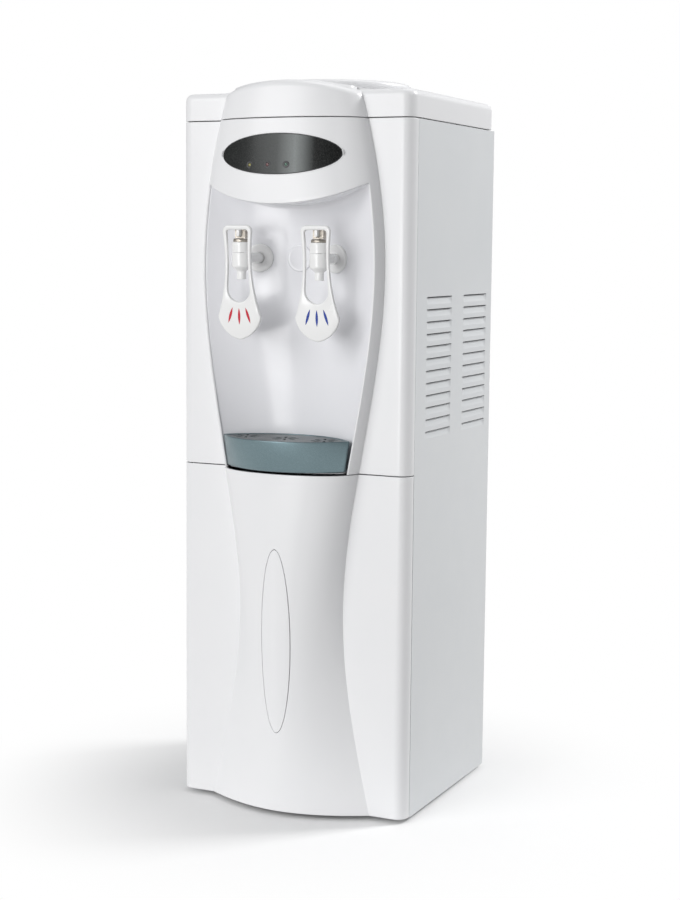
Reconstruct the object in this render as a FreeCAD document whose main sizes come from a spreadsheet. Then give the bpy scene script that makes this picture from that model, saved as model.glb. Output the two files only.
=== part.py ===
import FreeCAD, Part
import math
import os
import re
import Sketcher
from FreeCAD import Placement, Rotation, Vector

# Floor-standing hot and cold water dispenser, in millimetres.
# +X is to the right when one faces the taps, -Y is the front, +Z is up.
# The origin is on the floor, under the middle of the whole object's box.
# Local heights start at the underside of the cabinet, and local depths at the flat front strips.

os.makedirs("parts", exist_ok=True)
doc = FreeCAD.newDocument("WaterDispenser")

SIZES = (
    ("cabinet_width", 340, "outside of the side panels"),
    ("cabinet_depth", 302, "flat front strips to the rear edge"),
    ("cover_seam", 930, "height of the seam under the top cover"),
    ("door_seam", 465, "height of the seam over the door"),
    ("cover_rise", 37, "shoulders of the top cover over its seam"),
    ("crown_rise", 49, "front crown of the top cover over its seam"),
    ("deck_rise", 55, "bottle deck over the cover seam"),
    ("foot_height", 5, "glides under the base pan"),
    ("foot_radius", 14, "glide radius"),
    ("foot_inset", 44, "glide centre from the cabinet's edges"),
    ("corner_radius", 16, "front vertical corners"),
    ("edge_radius", 10, "top edges of the cover"),
    ("side_joint", 20, "depth of the joint of front panel and side panel"),
    ("seam_gap", 1.2, "open seam round the door and the panels"),
    ("swing_gap", 1.5, "gap behind the door's side returns"),
    ("plastic_wall", 3, "moulded panels"),
    ("sheet_wall", 1.2, "steel sheet"),
    ("bulge_foot", 120, "half width of the bulge at the floor end"),
    ("bulge_waist", 78, "half width of the bulge at its waist"),
    ("bulge_chest", 133, "half width of the bulge at its widest"),
    ("bulge_neck", 107, "half width of the bulge at the cover seam"),
    ("waist_height", 275, "height of the waist"),
    ("chest_height", 734, "height of the widest place"),
    ("depth_foot", 37.5, "bulge proud of the strips at the floor end"),
    ("depth_middle", 52, "bulge proud of the strips at the door seam"),
    ("depth_neck", 45, "bulge proud of the strips at the cover seam"),
    ("niche_flank", 7, "bulge left beside the niche opening"),
    ("niche_lip", 17, "niche edge in front of the strips"),
    ("niche_depth_low", 30, "niche wall behind the strips at the tray"),
    ("niche_depth_high", 21, "niche wall behind the strips at the taps"),
    ("niche_wall_thick", 2.5, "moulded niche liner"),
    ("niche_corner", 846, "height of the niche's upper corners"),
    ("niche_brow", 819, "height of the niche's top edge at the middle"),
    ("lens_height", 883, "indicator window centre"),
    ("lens_half_width", 88, "indicator window"),
    ("lens_half_height", 27, "indicator window"),
    ("lens_thick", 2, "indicator window"),
    ("led_radius", 2.4, "indicator lamp"),
    ("led_height", 869, "indicator lamp centres"),
    ("led_pitch", 27, "between indicator lamps"),
    ("led_middle", -13, "middle lamp from the centre line"),
    ("tap_offset", 57, "tap axis from the centre line"),
    ("tap_reach", 38, "tap axis in front of the strips"),
    ("shank_height", 748, "tap shank centre"),
    ("barrel_radius", 13, "tap barrel"),
    ("barrel_bore", 10, "inside of the tap barrel"),
    ("nozzle_radius", 6, "tap nozzle"),
    ("nozzle_bore", 4, "inside of the nozzle"),
    ("nozzle_length", 10, "tap nozzle"),
    ("nozzle_height", 720, "nozzle tip"),
    ("shoulder_length", 6, "cone between nozzle and barrel"),
    ("bonnet_height", 755, "seam of the barrel and its bonnet"),
    ("bonnet_length", 14, "screwed bonnet"),
    ("nut_radius", 11.5, "nickel nut on the bonnet"),
    ("nut_length", 4.5, "nickel nut on the bonnet"),
    ("stem_radius", 2.4, "valve stem"),
    ("pin_height", 781, "lever pin"),
    ("pin_radius", 1.5, "lever pin"),
    ("ear_thick", 5, "one ear of the stem's clevis"),
    ("ear_gap", 2.4, "half of the clevis slot"),
    ("ear_height", 8, "ear over the pin"),
    ("running_gap", 0.3, "clearance of pieces that move past each other"),
    ("pin_gap", 0.06, "radial clearance of a pin in its bore"),
    ("shank_radius", 7, "tap shank"),
    ("shank_end", 45, "end of the tap shank behind the strips"),
    ("flange_radius", 19, "tap flange"),
    ("flange_thick", 4, "tap flange proud of the niche wall"),
    ("plug_radius", 18, "blanking plug between the taps"),
    ("lever_plane", 50, "lever frame in front of the strips at the pin"),
    ("lever_lean", 4, "backward lean of the lever in degrees"),
    ("lever_thick", 5, "lever frame"),
    ("lever_head", 10, "lever frame over its pin"),
    ("lever_side_gap", 1, "room between the tap barrel and a side bar"),
    ("lever_head_flare", 1.5, "head wider than the waist, each side"),
    ("lever_waist_drop", 45, "lever waist under the pin"),
    ("lever_window_drop", 91, "bottom of the lever's window under the pin"),
    ("lever_wing_drop", 112, "paddle's side points under the pin"),
    ("lever_wing_half", 31, "half width of the paddle"),
    ("lever_tip_drop", 141, "paddle's tip under the pin"),
    ("lever_bar", 6, "width of the lever's side bars"),
    ("mark_length", 19, "colour slit on the paddle"),
    ("mark_half", 1.6, "half width of a colour slit"),
    ("mark_depth", 1.5, "colour slit inlay"),
    ("mark_drop", 110, "slit centre under the pin"),
    ("mark_pitch", 13, "between colour slits"),
    ("tray_height", 42, "drip tray"),
    ("tray_gap_low", 4.07, "room beside the tray's underside"),
    ("tray_gap_top", 5.56, "room beside the tray's rim"),
    ("tray_front_low", 58, "tray front at the underside"),
    ("tray_reach", 70, "tray front at the rim, the foremost point"),
    ("tray_back", 27, "tray back behind the strips"),
    ("tray_wall", 2.5, "drip tray"),
    ("grille_thick", 3, "drip grille"),
    ("grille_ledge", 6, "ledge that carries the grille"),
    ("rosette_pitch", 58, "between the grille's rosettes"),
    ("petal_inner", 6, "start of a rosette's petals"),
    ("petal_outer", 19, "end of a rosette's petals"),
    ("petal_half", 2, "half width of a petal"),
    ("inlay_low", 112, "lower end of the door's inlay"),
    ("inlay_high", 363, "upper end of the door's inlay"),
    ("inlay_half", 21, "half width of the door's inlay"),
    ("inlay_thick", 1.4, "door inlay"),
    ("inlay_gap", 0.7, "groove round the door's inlay"),
    ("hinge_inset_x", 8, "door pin from the side"),
    ("hinge_inset_y", 11, "door pin behind the strips"),
    ("hinge_pin", 2.5, "door pin radius"),
    ("hinge_reach", 12, "length of door pin in its boss"),
    ("liner_inset", 26, "door liner and compartment from the sides"),
    ("liner_thick", 12, "door liner"),
    ("compartment_depth", 225, "back of the compartment"),
    ("compartment_drop", 25, "top of the compartment under the door seam"),
    ("compartment_wall", 2.5, "compartment liner"),
    ("pan_height", 12, "base pan"),
    ("louvre_first", 519, "lowest louvre"),
    ("louvre_pitch", 16.3, "between louvres"),
    ("louvre_length", 90, "one louvre"),
    ("louvre_slot", 4.5, "height of a louvre's slot"),
    ("louvre_start", 57, "first column of louvres"),
    ("louvre_column", 134, "between the columns of louvres"),
    ("rear_inset", 4.8, "inner face of the back panel from the rear edge"),
    ("back_reach", 12, "drain cap behind the cabinet"),
    ("deck_radius", 102, "bottle deck"),
    ("deck_centre", 135, "centre of bottle deck and cold tank"),
    ("neck_radius", 28, "bore for the bottle's neck"),
    ("tank_radius", 70, "cold tank"),
    ("tank_low", 780, "cold tank's underside"),
    ("tank_high", 905, "cold tank's top"),
    ("jacket_thick", 20, "foam round the cold tank"),
    ("jacket_base", 15, "foam under and over the cold tank"),
    ("boiler_radius", 44, "hot tank"),
    ("boiler_height", 140, "hot tank"),
    ("shelf_rise", 35, "shelf that carries the hot tank, over the door seam"),
    ("shelf_start", 40, "front edge of the shelf"),
    ("block_half", 25, "cooling block"),
    ("module_half", 20, "thermoelectric module"),
    ("module_thick", 4, "thermoelectric module"),
    ("sink_half", 55, "heat sink"),
    ("sink_base", 6, "heat sink plate"),
    ("fin_depth", 22, "heat sink fins"),
    ("fin_thick", 2, "heat sink fins"),
    ("fan_half", 46, "fan frame"),
    ("fan_depth", 20, "fan frame"),
    ("fan_bore", 43, "fan frame's round opening"),
    ("fan_tip", 41, "fan blade tips"),
    ("hub_radius", 16, "fan hub"),
    ("cooler_height", 805, "centre of cooling block, sink and fan"),
    ("hose_radius", 5, "silicone hose"),
    ("drain_radius", 8, "drain spout"),
    ("drain_height", 530, "drain spout centre"),
    ("switch_side", 100, "switch pair from the centre line"),
    ("switch_height", 640, "switch pair centre"),
    ("gland_height", 70, "cord gland centre"),
    ("gland_bore", 3.6, "cord gland bore radius"),
    ("screw_radius", 3.5, "screw head"),
    ("screw_shank", 1.6, "screw shank"),
    ("supply_start", 28, "power supply's near side from the centre line"),
    ("supply_width", 100, "power supply across"),
    ("supply_depth", 110, "power supply from front to back"),
    ("supply_height", 48, "power supply height"),
    ("port_side", 40, "cold port from the centre line"),
    ("feed_side", 6, "feed port from the centre line"),
    ("rocker_side", 12.5, "switch rocker from the middle of its housing"),
    ("spring_wire", 0.7, "radius of the valve spring's wire"),
    ("spring_pitch", 2.6, "rise of the valve spring in one turn"),
    ("stem_drop", 13, "how far the valve stem reaches below the bonnet"),
)

sheet = doc.addObject("Spreadsheet::Sheet", "Sizes")
for row, (alias, number, note) in enumerate(SIZES, start=1):
    sheet.set(f"A{row}", alias)
    sheet.set(f"B{row}", str(number))
    sheet.setAlias(f"B{row}", alias)
    sheet.set(f"C{row}", note)
doc.recompute()
size = {alias: float(sheet.get(alias)) for alias, number, note in SIZES}


# ---------------------------------------------------------------- sizes that follow from others

DERIVED = {}


def derive(alias, *terms):
    """A length summed from (size, factor) pairs, usable in expressions and as a number."""
    DERIVED[alias] = "(" + " + ".join(f"{DERIVED.get(term, term)} * ({factor})" for term, factor in terms) + ")"
    size[alias] = sum(size[term] * factor for term, factor in terms)


derive("back_plane", ("cabinet_depth", 1), ("rear_inset", -1))
derive("tray_floor", ("door_seam", 1), ("seam_gap", 0.5), ("niche_wall_thick", 1), ("running_gap", 1))
derive("compartment_top", ("door_seam", 1), ("compartment_drop", -1))
derive("shelf_height", ("door_seam", 1), ("shelf_rise", 1))
derive("lever_waist_half", ("barrel_radius", 1), ("lever_side_gap", 1), ("lever_bar", 1))
derive("lever_head_half", ("lever_waist_half", 1), ("lever_head_flare", 1))

WIRE_SIDES = 12
WORD = re.compile(r"[a-z]+(?:_[a-z]+)*")
FRONT = "(0 - (cabinet_depth + back_reach - tray_reach) / 2)"
FLOOR = "foot_height"
front_y = -(size["cabinet_depth"] + size["back_reach"] - size["tray_reach"]) / 2
TO_ORIGIN = Placement(Vector(0, front_y, size["foot_height"]), Rotation())
AXIS_TURN = {
    "x": Rotation(Vector(0, 1, 0), 90),
    "y": Rotation(Vector(1, 0, 0), -90),
    "z": Rotation(),
}
parts = {}


# ---------------------------------------------------------------- helpers

def bound(text):
    """The expression with every size alias pointed at the spreadsheet."""
    spelled = WORD.sub(lambda word: DERIVED.get(word[0], word[0]), str(text))
    return WORD.sub(lambda word: f"Sizes.{word[0]}" if word[0] in size else word[0], spelled)


def seat(item, x, y, z):
    """Place an item at local x, y, z, bound to the spreadsheet."""
    item.setExpression("Placement.Base.x", bound(x))
    item.setExpression("Placement.Base.y", bound(f"{FRONT} + {y}"))
    item.setExpression("Placement.Base.z", bound(f"{FLOOR} + {z}"))


def keep(item, name):
    """Make an item a sub-part with its own label."""
    item.Label = name
    parts[name] = item
    return item


def box(name, x, y, z):
    """A box between pairs of local limits."""
    item = doc.addObject("Part::Box", name)
    for side, (low, high) in zip(("Length", "Width", "Height"), (x, y, z)):
        item.setExpression(side, bound(f"({high}) - ({low})"))
    seat(item, x[0], y[0], z[0])
    return item


def rod(name, radius, centre, along, span):
    """A cylinder along one axis; centre gives the other two coordinates in order."""
    item = doc.addObject("Part::Cylinder", name)
    item.Placement = Placement(Vector(), AXIS_TURN[along])
    item.setExpression("Radius", bound(radius))
    item.setExpression("Height", bound(f"({span[1]}) - ({span[0]})"))
    place = list(centre)
    place.insert("xyz".index(along), span[0])
    seat(item, *place)
    return item


def cut(name, base, *tools):
    """Base with the tools taken away."""
    tool = tools[0] if len(tools) == 1 else fuse(name + "_tools", *tools)
    item = doc.addObject("Part::Cut", name)
    item.Base = base
    item.Tool = tool
    return item


def fuse(name, *items):
    """Items joined into one."""
    item = doc.addObject("Part::MultiFuse", name)
    item.Shapes = list(items)
    return item


def shared(name, *items):
    """What the items have in common."""
    item = doc.addObject("Part::MultiCommon", name)
    item.Shapes = list(items)
    return item


def group(name, *items):
    """Separate solids kept together in one sub-part."""
    item = doc.addObject("Part::Compound", name)
    item.Links = list(items)
    return item


def pipe(name, outer, inner, centre, along, span):
    """A round pipe along one axis."""
    return cut(
        name,
        rod(name + "_outside", outer, centre, along, span),
        rod(name + "_bore", inner, centre, along, span),
    )


def computed(name, shape):
    """A sub-shape worked out here in local coordinates, then placed."""
    item = doc.addObject("Part::Feature", name)
    item.Shape = shape
    item.Placement = TO_ORIGIN.multiply(shape.Placement)
    return item


def rounded(name, base, radius, pick):
    """Base with the picked edges rounded; pick reads an edge's middle in local coordinates."""
    doc.recompute()
    item = doc.addObject("Part::Fillet", name)
    item.Base = base
    chosen = []
    for number, edge in enumerate(base.Shape.Edges, start=1):
        middle = edge.CenterOfMass - TO_ORIGIN.Base
        if pick(edge, middle):
            chosen.append((number, radius, radius))
    item.Edges = chosen
    return item


def upright(edge):
    """Whether an edge stands up."""
    ends = edge.Vertexes
    return len(ends) == 2 and abs(ends[0].Z - ends[1].Z) > 0.9 * edge.Length


def sketch_on(body, plane_role):
    """A sketch on one of the body's own origin planes."""
    sketch = body.newObject("Sketcher::SketchObject", body.Name + "_sketch")
    plane = [item for item in body.Origin.OriginFeatures if item.Role == plane_role][0]
    sketch.AttachmentSupport = [(plane, "")]
    sketch.MapMode = "FlatFace"
    return sketch


def outline(sketch, corners):
    """A closed outline of straight lines whose corners are bound to the spreadsheet."""
    first = sketch.GeometryCount
    count = len(corners)
    for index in range(count):
        start = Vector(math.cos(index) * 10, index * 5, 0)
        end = Vector(math.cos(index + 1) * 10, index * 5 + 5, 0)
        sketch.addGeometry(Part.LineSegment(start, end))
    for index, (across, up) in enumerate(corners):
        line = first + index
        following = first + (index + 1) % count
        sketch.addConstraint(Sketcher.Constraint("Coincident", line, 2, following, 1))
        for kind, value in (("DistanceX", across), ("DistanceY", up)):
            number = sketch.addConstraint(Sketcher.Constraint(kind, -1, 1, line, 1, 1.0))
            sketch.setExpression(f"Constraints[{number}]", bound(value))


def turned(name, profile):
    """A body revolved about its own upright axis from (radius, height) corners."""
    body = doc.addObject("PartDesign::Body", name)
    sketch = sketch_on(body, "XZ_Plane")
    outline(sketch, profile)
    spin = body.newObject("PartDesign::Revolution", name + "_turn")
    spin.Profile = sketch
    spin.ReferenceAxis = (sketch, ["V_Axis"])
    spin.Angle = 360
    return body


def hose(name, points, radius, bend):
    """A round hose of straight runs joined by tangent arcs, through local points."""
    route = [Vector(*point) for point in points]
    edges = []
    start = route[0]
    for before, corner, after in zip(route, route[1:], route[2:]):
        into = (corner - before).normalize()
        out = (after - corner).normalize()
        turn = into.getAngle(out)
        setback = bend * math.tan(turn / 2)
        arc_start = corner - into * setback
        arc_end = corner + out * setback
        inward = (out - into).normalize()
        bulk = bend / math.cos(turn / 2) - bend
        edges.append(Part.LineSegment(start, arc_start).toShape())
        edges.append(Part.Arc(arc_start, corner + inward * bulk, arc_end).toShape())
        start = arc_end
    edges.append(Part.LineSegment(start, route[-1]).toShape())
    ring = Part.Wire(Part.makeCircle(radius, route[0], route[1] - route[0]))
    return computed(name, Part.Wire(edges).makePipeShell([ring], True, True))


# ---------------------------------------------------------------- the bulged front

def blend(height, low, high, slope_low, slope_high):
    """A smooth curve of height between two (height, value) points with end slopes."""
    span = high[0] - low[0]
    part = (height - low[0]) / span
    square = part * part
    cube = square * part
    return (
        low[1] * (2 * cube - 3 * square + 1)
        + high[1] * (3 * square - 2 * cube)
        + slope_low * span * (cube - 2 * square + part)
        + slope_high * span * (cube - square)
    )


def bulge_half(height):
    """Half width of the bulge: foot, waist, chest and neck in one S-curve."""
    foot = (0, size["bulge_foot"])
    waist = (size["waist_height"], size["bulge_waist"])
    chest = (size["chest_height"], size["bulge_chest"])
    neck = (size["cover_seam"], size["bulge_neck"])
    if height < waist[0]:
        return blend(height, foot, waist, -0.24, 0)
    if height < chest[0]:
        return blend(height, waist, chest, 0, 0)
    return blend(height, chest, neck, 0, -0.25)


def bulge_proud(height):
    """How far the bulge stands in front of the strips at the centre line."""
    foot = (0, size["depth_foot"])
    middle = (size["door_seam"], size["depth_middle"])
    neck = (size["cover_seam"], size["depth_neck"])
    if height < middle[0]:
        return blend(height, foot, middle, 0.055, 0)
    return blend(height, middle, neck, 0, -0.12)


def edge_angle(height):
    """Angle of the bulge's skin at its crease: shallow at the floor, steep at the chest."""
    level = min(1, max(0, height / (size["door_seam"] + 35)))
    return math.radians(30 + 56 * level * level * (3 - 2 * level))


def bulge_section(height, inset, root):
    """One level section of the bulge, pulled in by inset and closed at depth root."""
    half = bulge_half(height) - inset
    pull = (bulge_proud(height) - inset) / 0.75
    lean = pull / math.tan(edge_angle(height))
    left = Vector(-half, 0, height)
    right = Vector(half, 0, height)
    curve = Part.BezierCurve()
    curve.setPoles([left, left + Vector(lean, -pull, 0), right + Vector(-lean, -pull, 0), right])
    back_right = Vector(half, root, height)
    back_left = Vector(-half, root, height)
    edges = [curve.toShape()]
    for start, end in ((right, back_right), (back_right, back_left), (back_left, left)):
        edges.append(Part.LineSegment(start, end).toShape())
    return Part.Wire(edges)


def levels(low, high, step):
    """Evenly spaced heights from low to high, about one step apart."""
    count = max(2, math.ceil((high - low) / step))
    return [low + (high - low) * index / count for index in range(count + 1)]


def bulge(name, low, high, inset, root):
    """The bulge as a solid between two heights."""
    sections = [bulge_section(height, inset, root) for height in levels(low, high, 60)]
    return computed(name, Part.makeLoft(sections, True))


def front_skin(name, low, high, back):
    """A moulded front: flat strips with rounded corners, side returns and the hollow bulge."""
    wall = "plastic_wall"
    low_value, high_value = (sum(size[word] * factor for word, factor in level) for level in (low, high))
    low_text, high_text = (" + ".join(f"{word} * ({factor})" for word, factor in level) for level in (low, high))
    half = "cabinet_width / 2"
    outside = box(name + "_outside", (f"0 - {half}", half), ("0", back), (low_text, high_text))
    inside = box(
        name + "_inside",
        (f"{wall} - {half}", f"{half} - {wall}"),
        (wall, back),
        (low_text, high_text),
    )
    at_front = size["side_joint"] / 4
    outside = rounded(
        name + "_corners", outside, size["corner_radius"],
        lambda edge, middle: upright(edge) and middle.y < at_front,
    )
    inside = rounded(
        name + "_inner_corners", inside, size["corner_radius"] - size["plastic_wall"],
        lambda edge, middle: upright(edge) and middle.y < at_front,
    )
    strips = cut(name + "_strips", outside, inside)
    skin = bulge(name + "_bulge", low_value, high_value, 0, size["plastic_wall"])
    hollow = bulge(name + "_hollow", low_value - 1, high_value + 1, size["plastic_wall"],
                   size["side_joint"] + 10)
    return cut(name + "_skin", fuse(name + "_solid", strips, skin), hollow)


def oval(name, half_width, low, high, front, back):
    """An upright elliptic prism that runs from front to back."""
    tall = (high - low) / 2
    centre = Vector(0, front, (low + high) / 2)
    long_axis, short_axis = (Vector(0, 0, 1), Vector(1, 0, 0))
    major, minor = tall, half_width
    if half_width > tall:
        long_axis, short_axis = (short_axis, long_axis)
        major, minor = half_width, tall
    ellipse = Part.Ellipse(centre + long_axis * major, centre + short_axis * minor, centre)
    face = Part.Face(Part.Wire(ellipse.toShape()))
    return computed(name, face.extrude(Vector(0, back - front, 0)))


# ---------------------------------------------------------------- niche

def niche_half(height):
    """Half width of the niche opening, a flank inside the bulge's crease."""
    return bulge_half(height) - size["niche_flank"]


def niche_depth(height):
    """Depth of the scooped wall behind the strips at the centre line."""
    low = (size["door_seam"], size["niche_depth_low"])
    high = (size["shank_height"], size["niche_depth_high"])
    if height > high[0]:
        return high[1]
    return blend(height, low, high, 0, 0)


def scoop_section(height, grow):
    """Level section of the space in front of the scooped wall."""
    half = niche_half(height) + grow
    lip = -size["niche_lip"]
    ahead = -size["tray_reach"] - 20
    left = Vector(-half, lip, height)
    right = Vector(half, lip, height)
    middle = Vector(0, niche_depth(height) + grow, height)
    front_right = Vector(half, ahead, height)
    front_left = Vector(-half, ahead, height)
    edges = [Part.Arc(left, middle, right).toShape()]
    for start, end in ((right, front_right), (front_right, front_left), (front_left, left)):
        edges.append(Part.LineSegment(start, end).toShape())
    return Part.Wire(edges)


def brow_prism(low, grow):
    """Upright slab under the niche's smiling top edge, grown by a wall thickness."""
    corner = size["niche_corner"] + grow
    reach = size["bulge_chest"] + 20
    drop = (size["niche_corner"] - size["niche_brow"]) * (reach / niche_half(size["niche_corner"])) ** 2
    ahead = -size["tray_reach"] - 30
    left = Vector(-reach, ahead, size["niche_brow"] + grow + drop)
    right = Vector(reach, ahead, left.z)
    middle = Vector(0, ahead, size["niche_brow"] + grow)
    low_right = Vector(reach, ahead, low)
    low_left = Vector(-reach, ahead, low)
    edges = [Part.Arc(left, middle, right).toShape()]
    for start, end in ((right, low_right), (low_right, low_left), (low_left, left)):
        edges.append(Part.LineSegment(start, end).toShape())
    depth = size["cabinet_depth"] / 2
    return Part.Face(Part.Wire(edges)).extrude(Vector(0, depth, 0))


def niche_space(low, grow):
    """The niche's open space as a solid, grown by a wall thickness."""
    top = size["niche_corner"] + size["niche_lip"]
    sections = [scoop_section(height, grow) for height in levels(low, top, 45)]
    return Part.makeLoft(sections, True).common(brow_prism(low - 1, grow))


# ---------------------------------------------------------------- cabinet

def build_base():
    """Base pan and its glides."""
    half = "cabinet_width / 2"
    wall = "sheet_wall"
    outer = box("pan_outside", (f"{wall} - {half}", f"{half} - {wall}"), ("side_joint + 6", "back_plane - 2"),
                ("0", "pan_height"))
    inner = box("pan_inside", (f"2 * {wall} - {half}", f"{half} - 2 * {wall}"),
                (f"side_joint + 6 + {wall}", f"back_plane - 2 - {wall}"), (wall, "pan_height"))
    keep(cut("base_pan", outer, inner), "base_pan")
    feet = []
    for side, sign in (("left", "-"), ("right", "")):
        for end, depth in (("front", "foot_inset"), ("rear", "cabinet_depth - foot_inset")):
            feet.append(rod(f"foot_{end}_{side}", "foot_radius", (f"{sign}1 * ({half} - foot_inset)", depth), "z",
                            ("0 - foot_height", "0")))
    keep(group("feet", *feet), "feet")


def louvre_cutter(name, near, far):
    """Two columns of slots through a side panel, as one row repeated upwards."""
    body = doc.addObject("PartDesign::Body", name)
    sketch = sketch_on(body, "XY_Plane")
    for start in ("louvre_start", "louvre_start + louvre_column"):
        outline(sketch, ((near, start), (far, start), (far, f"{start} + louvre_length"),
                         (near, f"{start} + louvre_length")))
    pad = body.newObject("PartDesign::Pad", name + "_pad")
    pad.Profile = sketch
    pad.setExpression("Length", bound("louvre_slot"))
    rows = body.newObject("PartDesign::LinearPattern", name + "_rows")
    rows.Originals = [pad]
    upward = [item for item in body.Origin.OriginFeatures if item.Role == "Z_Axis"][0]
    rows.Direction = (upward, [""])
    rows.setExpression("Length", bound("louvre_pitch * 11"))
    rows.Occurrences = 12
    body.Tip = rows
    seat(body, "0", "0", "louvre_first - louvre_slot / 2")
    return body


def build_side(name, sign):
    """One steel side panel with front and rear flanges and its louvres."""
    half = "cabinet_width / 2"
    wall = "sheet_wall"

    def across(near, far):
        """Limits in x, ordered for either side."""
        return (near, far) if sign > 0 else (f"0 - ({far})", f"0 - ({near})")

    top = "cover_seam - seam_gap / 2"
    skin = box(name + "_skin", across(f"{half} - {wall}", half), ("side_joint + 0.5", "cabinet_depth"), ("0", top))
    front = box(name + "_front", across(f"{half} - 14", f"{half} - {wall}"),
                ("side_joint + 4", f"side_joint + 4 + {wall}"), ("pan_height + 1", top))
    rear = box(name + "_rear", across(f"{half} - 14", f"{half} - {wall}"),
               (f"back_plane - {wall}", "back_plane"), ("pan_height + 1", top))
    limits = across(f"{half} - 6", f"{half} + 6")
    slots = louvre_cutter(name + "_slots", *limits)
    keep(cut(name, fuse(name + "_sheet", skin, front, rear), slots), name)


def build_back():
    """Steel back panel with a fan grille, switch opening, drain hole and gland hole."""
    half = "cabinet_width / 2"
    span = ("back_plane - 1", "back_plane + 3")
    sheet_plate = box("back_sheet", (f"sheet_wall + 0.3 - {half}", f"{half} - sheet_wall - 0.3"),
                      ("back_plane", "back_plane + sheet_wall"), ("2", "cover_seam - seam_gap / 2"))
    tools = []
    for index in range(9):
        height = f"cooler_height + {(index - 4) * 9}"
        tools.append(box(f"back_slot_{index}", ("-38", "38"), span, (f"{height} - 2.2", f"{height} + 2.2")))
    tools.append(box("back_switch", ("switch_side - 26", "switch_side + 26"), span,
                     ("switch_height - 14", "switch_height + 14")))
    tools.append(rod("back_drain", "drain_radius + 0.5", ("0 - tap_offset", "drain_height"), "y", span))
    tools.append(rod("back_gland", "gland_bore + 4.5", ("switch_side", "gland_height"), "y", span))
    keep(cut("back_panel", sheet_plate, *tools), "back_panel")
    screws = []
    for side in ("-1", "1"):
        for index in range(4):
            place = (f"{side} * ({half} - 8)", f"60 + {index} * (cover_seam - 120) / 3")
            head = rod(f"screw_head{side}_{index}", "screw_radius", place, "y",
                       ("back_plane + sheet_wall", "back_plane + sheet_wall + 2.2"))
            shank = rod(f"screw_shank{side}_{index}", "screw_shank", place, "y",
                        ("back_plane - 8", "back_plane + 1.5"))
            screws.append(fuse(f"screw{side}_{index}", head, shank))
    keep(group("panel_screws", *screws), "panel_screws")


def build_back_holes():
    """Screw holes through the back panel and the side panels' rear flanges."""
    half = "cabinet_width / 2"
    for name in ("back_panel", "left_side_panel", "right_side_panel"):
        sides = {"back_panel": ("-1", "1"), "left_side_panel": ("-1",), "right_side_panel": ("1",)}[name]
        holes = []
        for side in sides:
            for index in range(4):
                place = (f"{side} * ({half} - 8)", f"60 + {index} * (cover_seam - 120) / 3")
                holes.append(rod(f"{name}_hole{side}_{index}", "screw_shank", place, "y",
                                 ("back_plane - 4", "back_plane + 4")))
        whole = parts[name]
        whole.Label = name + "_blank"
        keep(cut(name + "_drilled", whole, *holes), name)


def build_cover():
    """Top cover with its front crown, and the bottle deck that sits on it."""
    half = "cabinet_width / 2"
    low = size["cover_seam"] + size["seam_gap"] / 2
    shoulder = size["cover_seam"] + size["cover_rise"]
    block = box("cover_block", (f"0 - {half}", half), ("0", "cabinet_depth"),
                ("cover_seam + seam_gap / 2", "cover_seam + cover_rise"))
    block = rounded("cover_corners", block, size["corner_radius"], lambda edge, middle: upright(edge))
    block = rounded("cover_edges", block, size["edge_radius"],
                    lambda edge, middle: not upright(edge) and middle.z > shoulder - 0.5)
    crown_top = size["cover_seam"] + size["crown_rise"]
    root = size["deck_centre"]
    crown = bulge("crown_bulge", low, crown_top + 5, 0, root)
    reach = size["bulge_neck"]
    sagitta = size["crown_rise"] - size["cover_rise"] + 1
    radius = (reach * reach + sagitta * sagitta) / (2 * sagitta)
    arch = Part.makeCylinder(radius, size["tray_reach"] + root, Vector(0, -size["tray_reach"], crown_top - radius),
                             Vector(0, 1, 0))
    crown = shared("crown_arched", crown, computed("crown_arch", arch))
    crown = rounded("crown_soft", crown, size["edge_radius"],
                    lambda edge, middle: middle.z > shoulder - 12 and middle.y < -8 and not upright(edge))
    inside = box("cover_inside", (f"plastic_wall - {half}", f"{half} - plastic_wall"),
                 ("plastic_wall", "cabinet_depth - plastic_wall"),
                 ("cover_seam", "cover_seam + cover_rise - plastic_wall"))
    front_inside = bulge("crown_inside", low - 1, shoulder - size["plastic_wall"], size["plastic_wall"],
                         size["side_joint"])
    funnel = rod("cover_hole", "deck_radius - 34", ("0", "deck_centre"), "z",
                 ("cover_seam", "cover_seam + deck_rise + 5"))
    keep(cut("top_cover", fuse("cover_solid", block, crown), inside, front_inside, funnel,
             rod("cover_step", "deck_radius + running_gap", ("0", "deck_centre"), "z",
                 ("cover_seam + cover_rise", "cover_seam + deck_rise + 5"))), "top_cover")
    deck = turned("bottle_seat", (
        ("deck_radius", "cover_rise"), ("deck_radius", "deck_rise - 5"), ("deck_radius - 2", "deck_rise - 1.5"),
        ("deck_radius - 6", "deck_rise"), ("deck_radius - 12", "deck_rise"), ("deck_radius - 15", "deck_rise - 2"),
        ("neck_radius + 6", "deck_rise - 32"), ("neck_radius", "deck_rise - 38"), ("neck_radius", "deck_rise - 70"),
        ("neck_radius + plastic_wall", "deck_rise - 70"), ("neck_radius + plastic_wall", "deck_rise - 39"),
        ("neck_radius + 8", "deck_rise - 35"), ("deck_radius - 36", "cover_rise - 1"),
        ("deck_radius - 36", "cover_rise"),
    ))
    seat(deck, "0", "deck_centre", "cover_seam")
    keep(deck, "bottle_seat")


# ---------------------------------------------------------------- front

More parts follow.
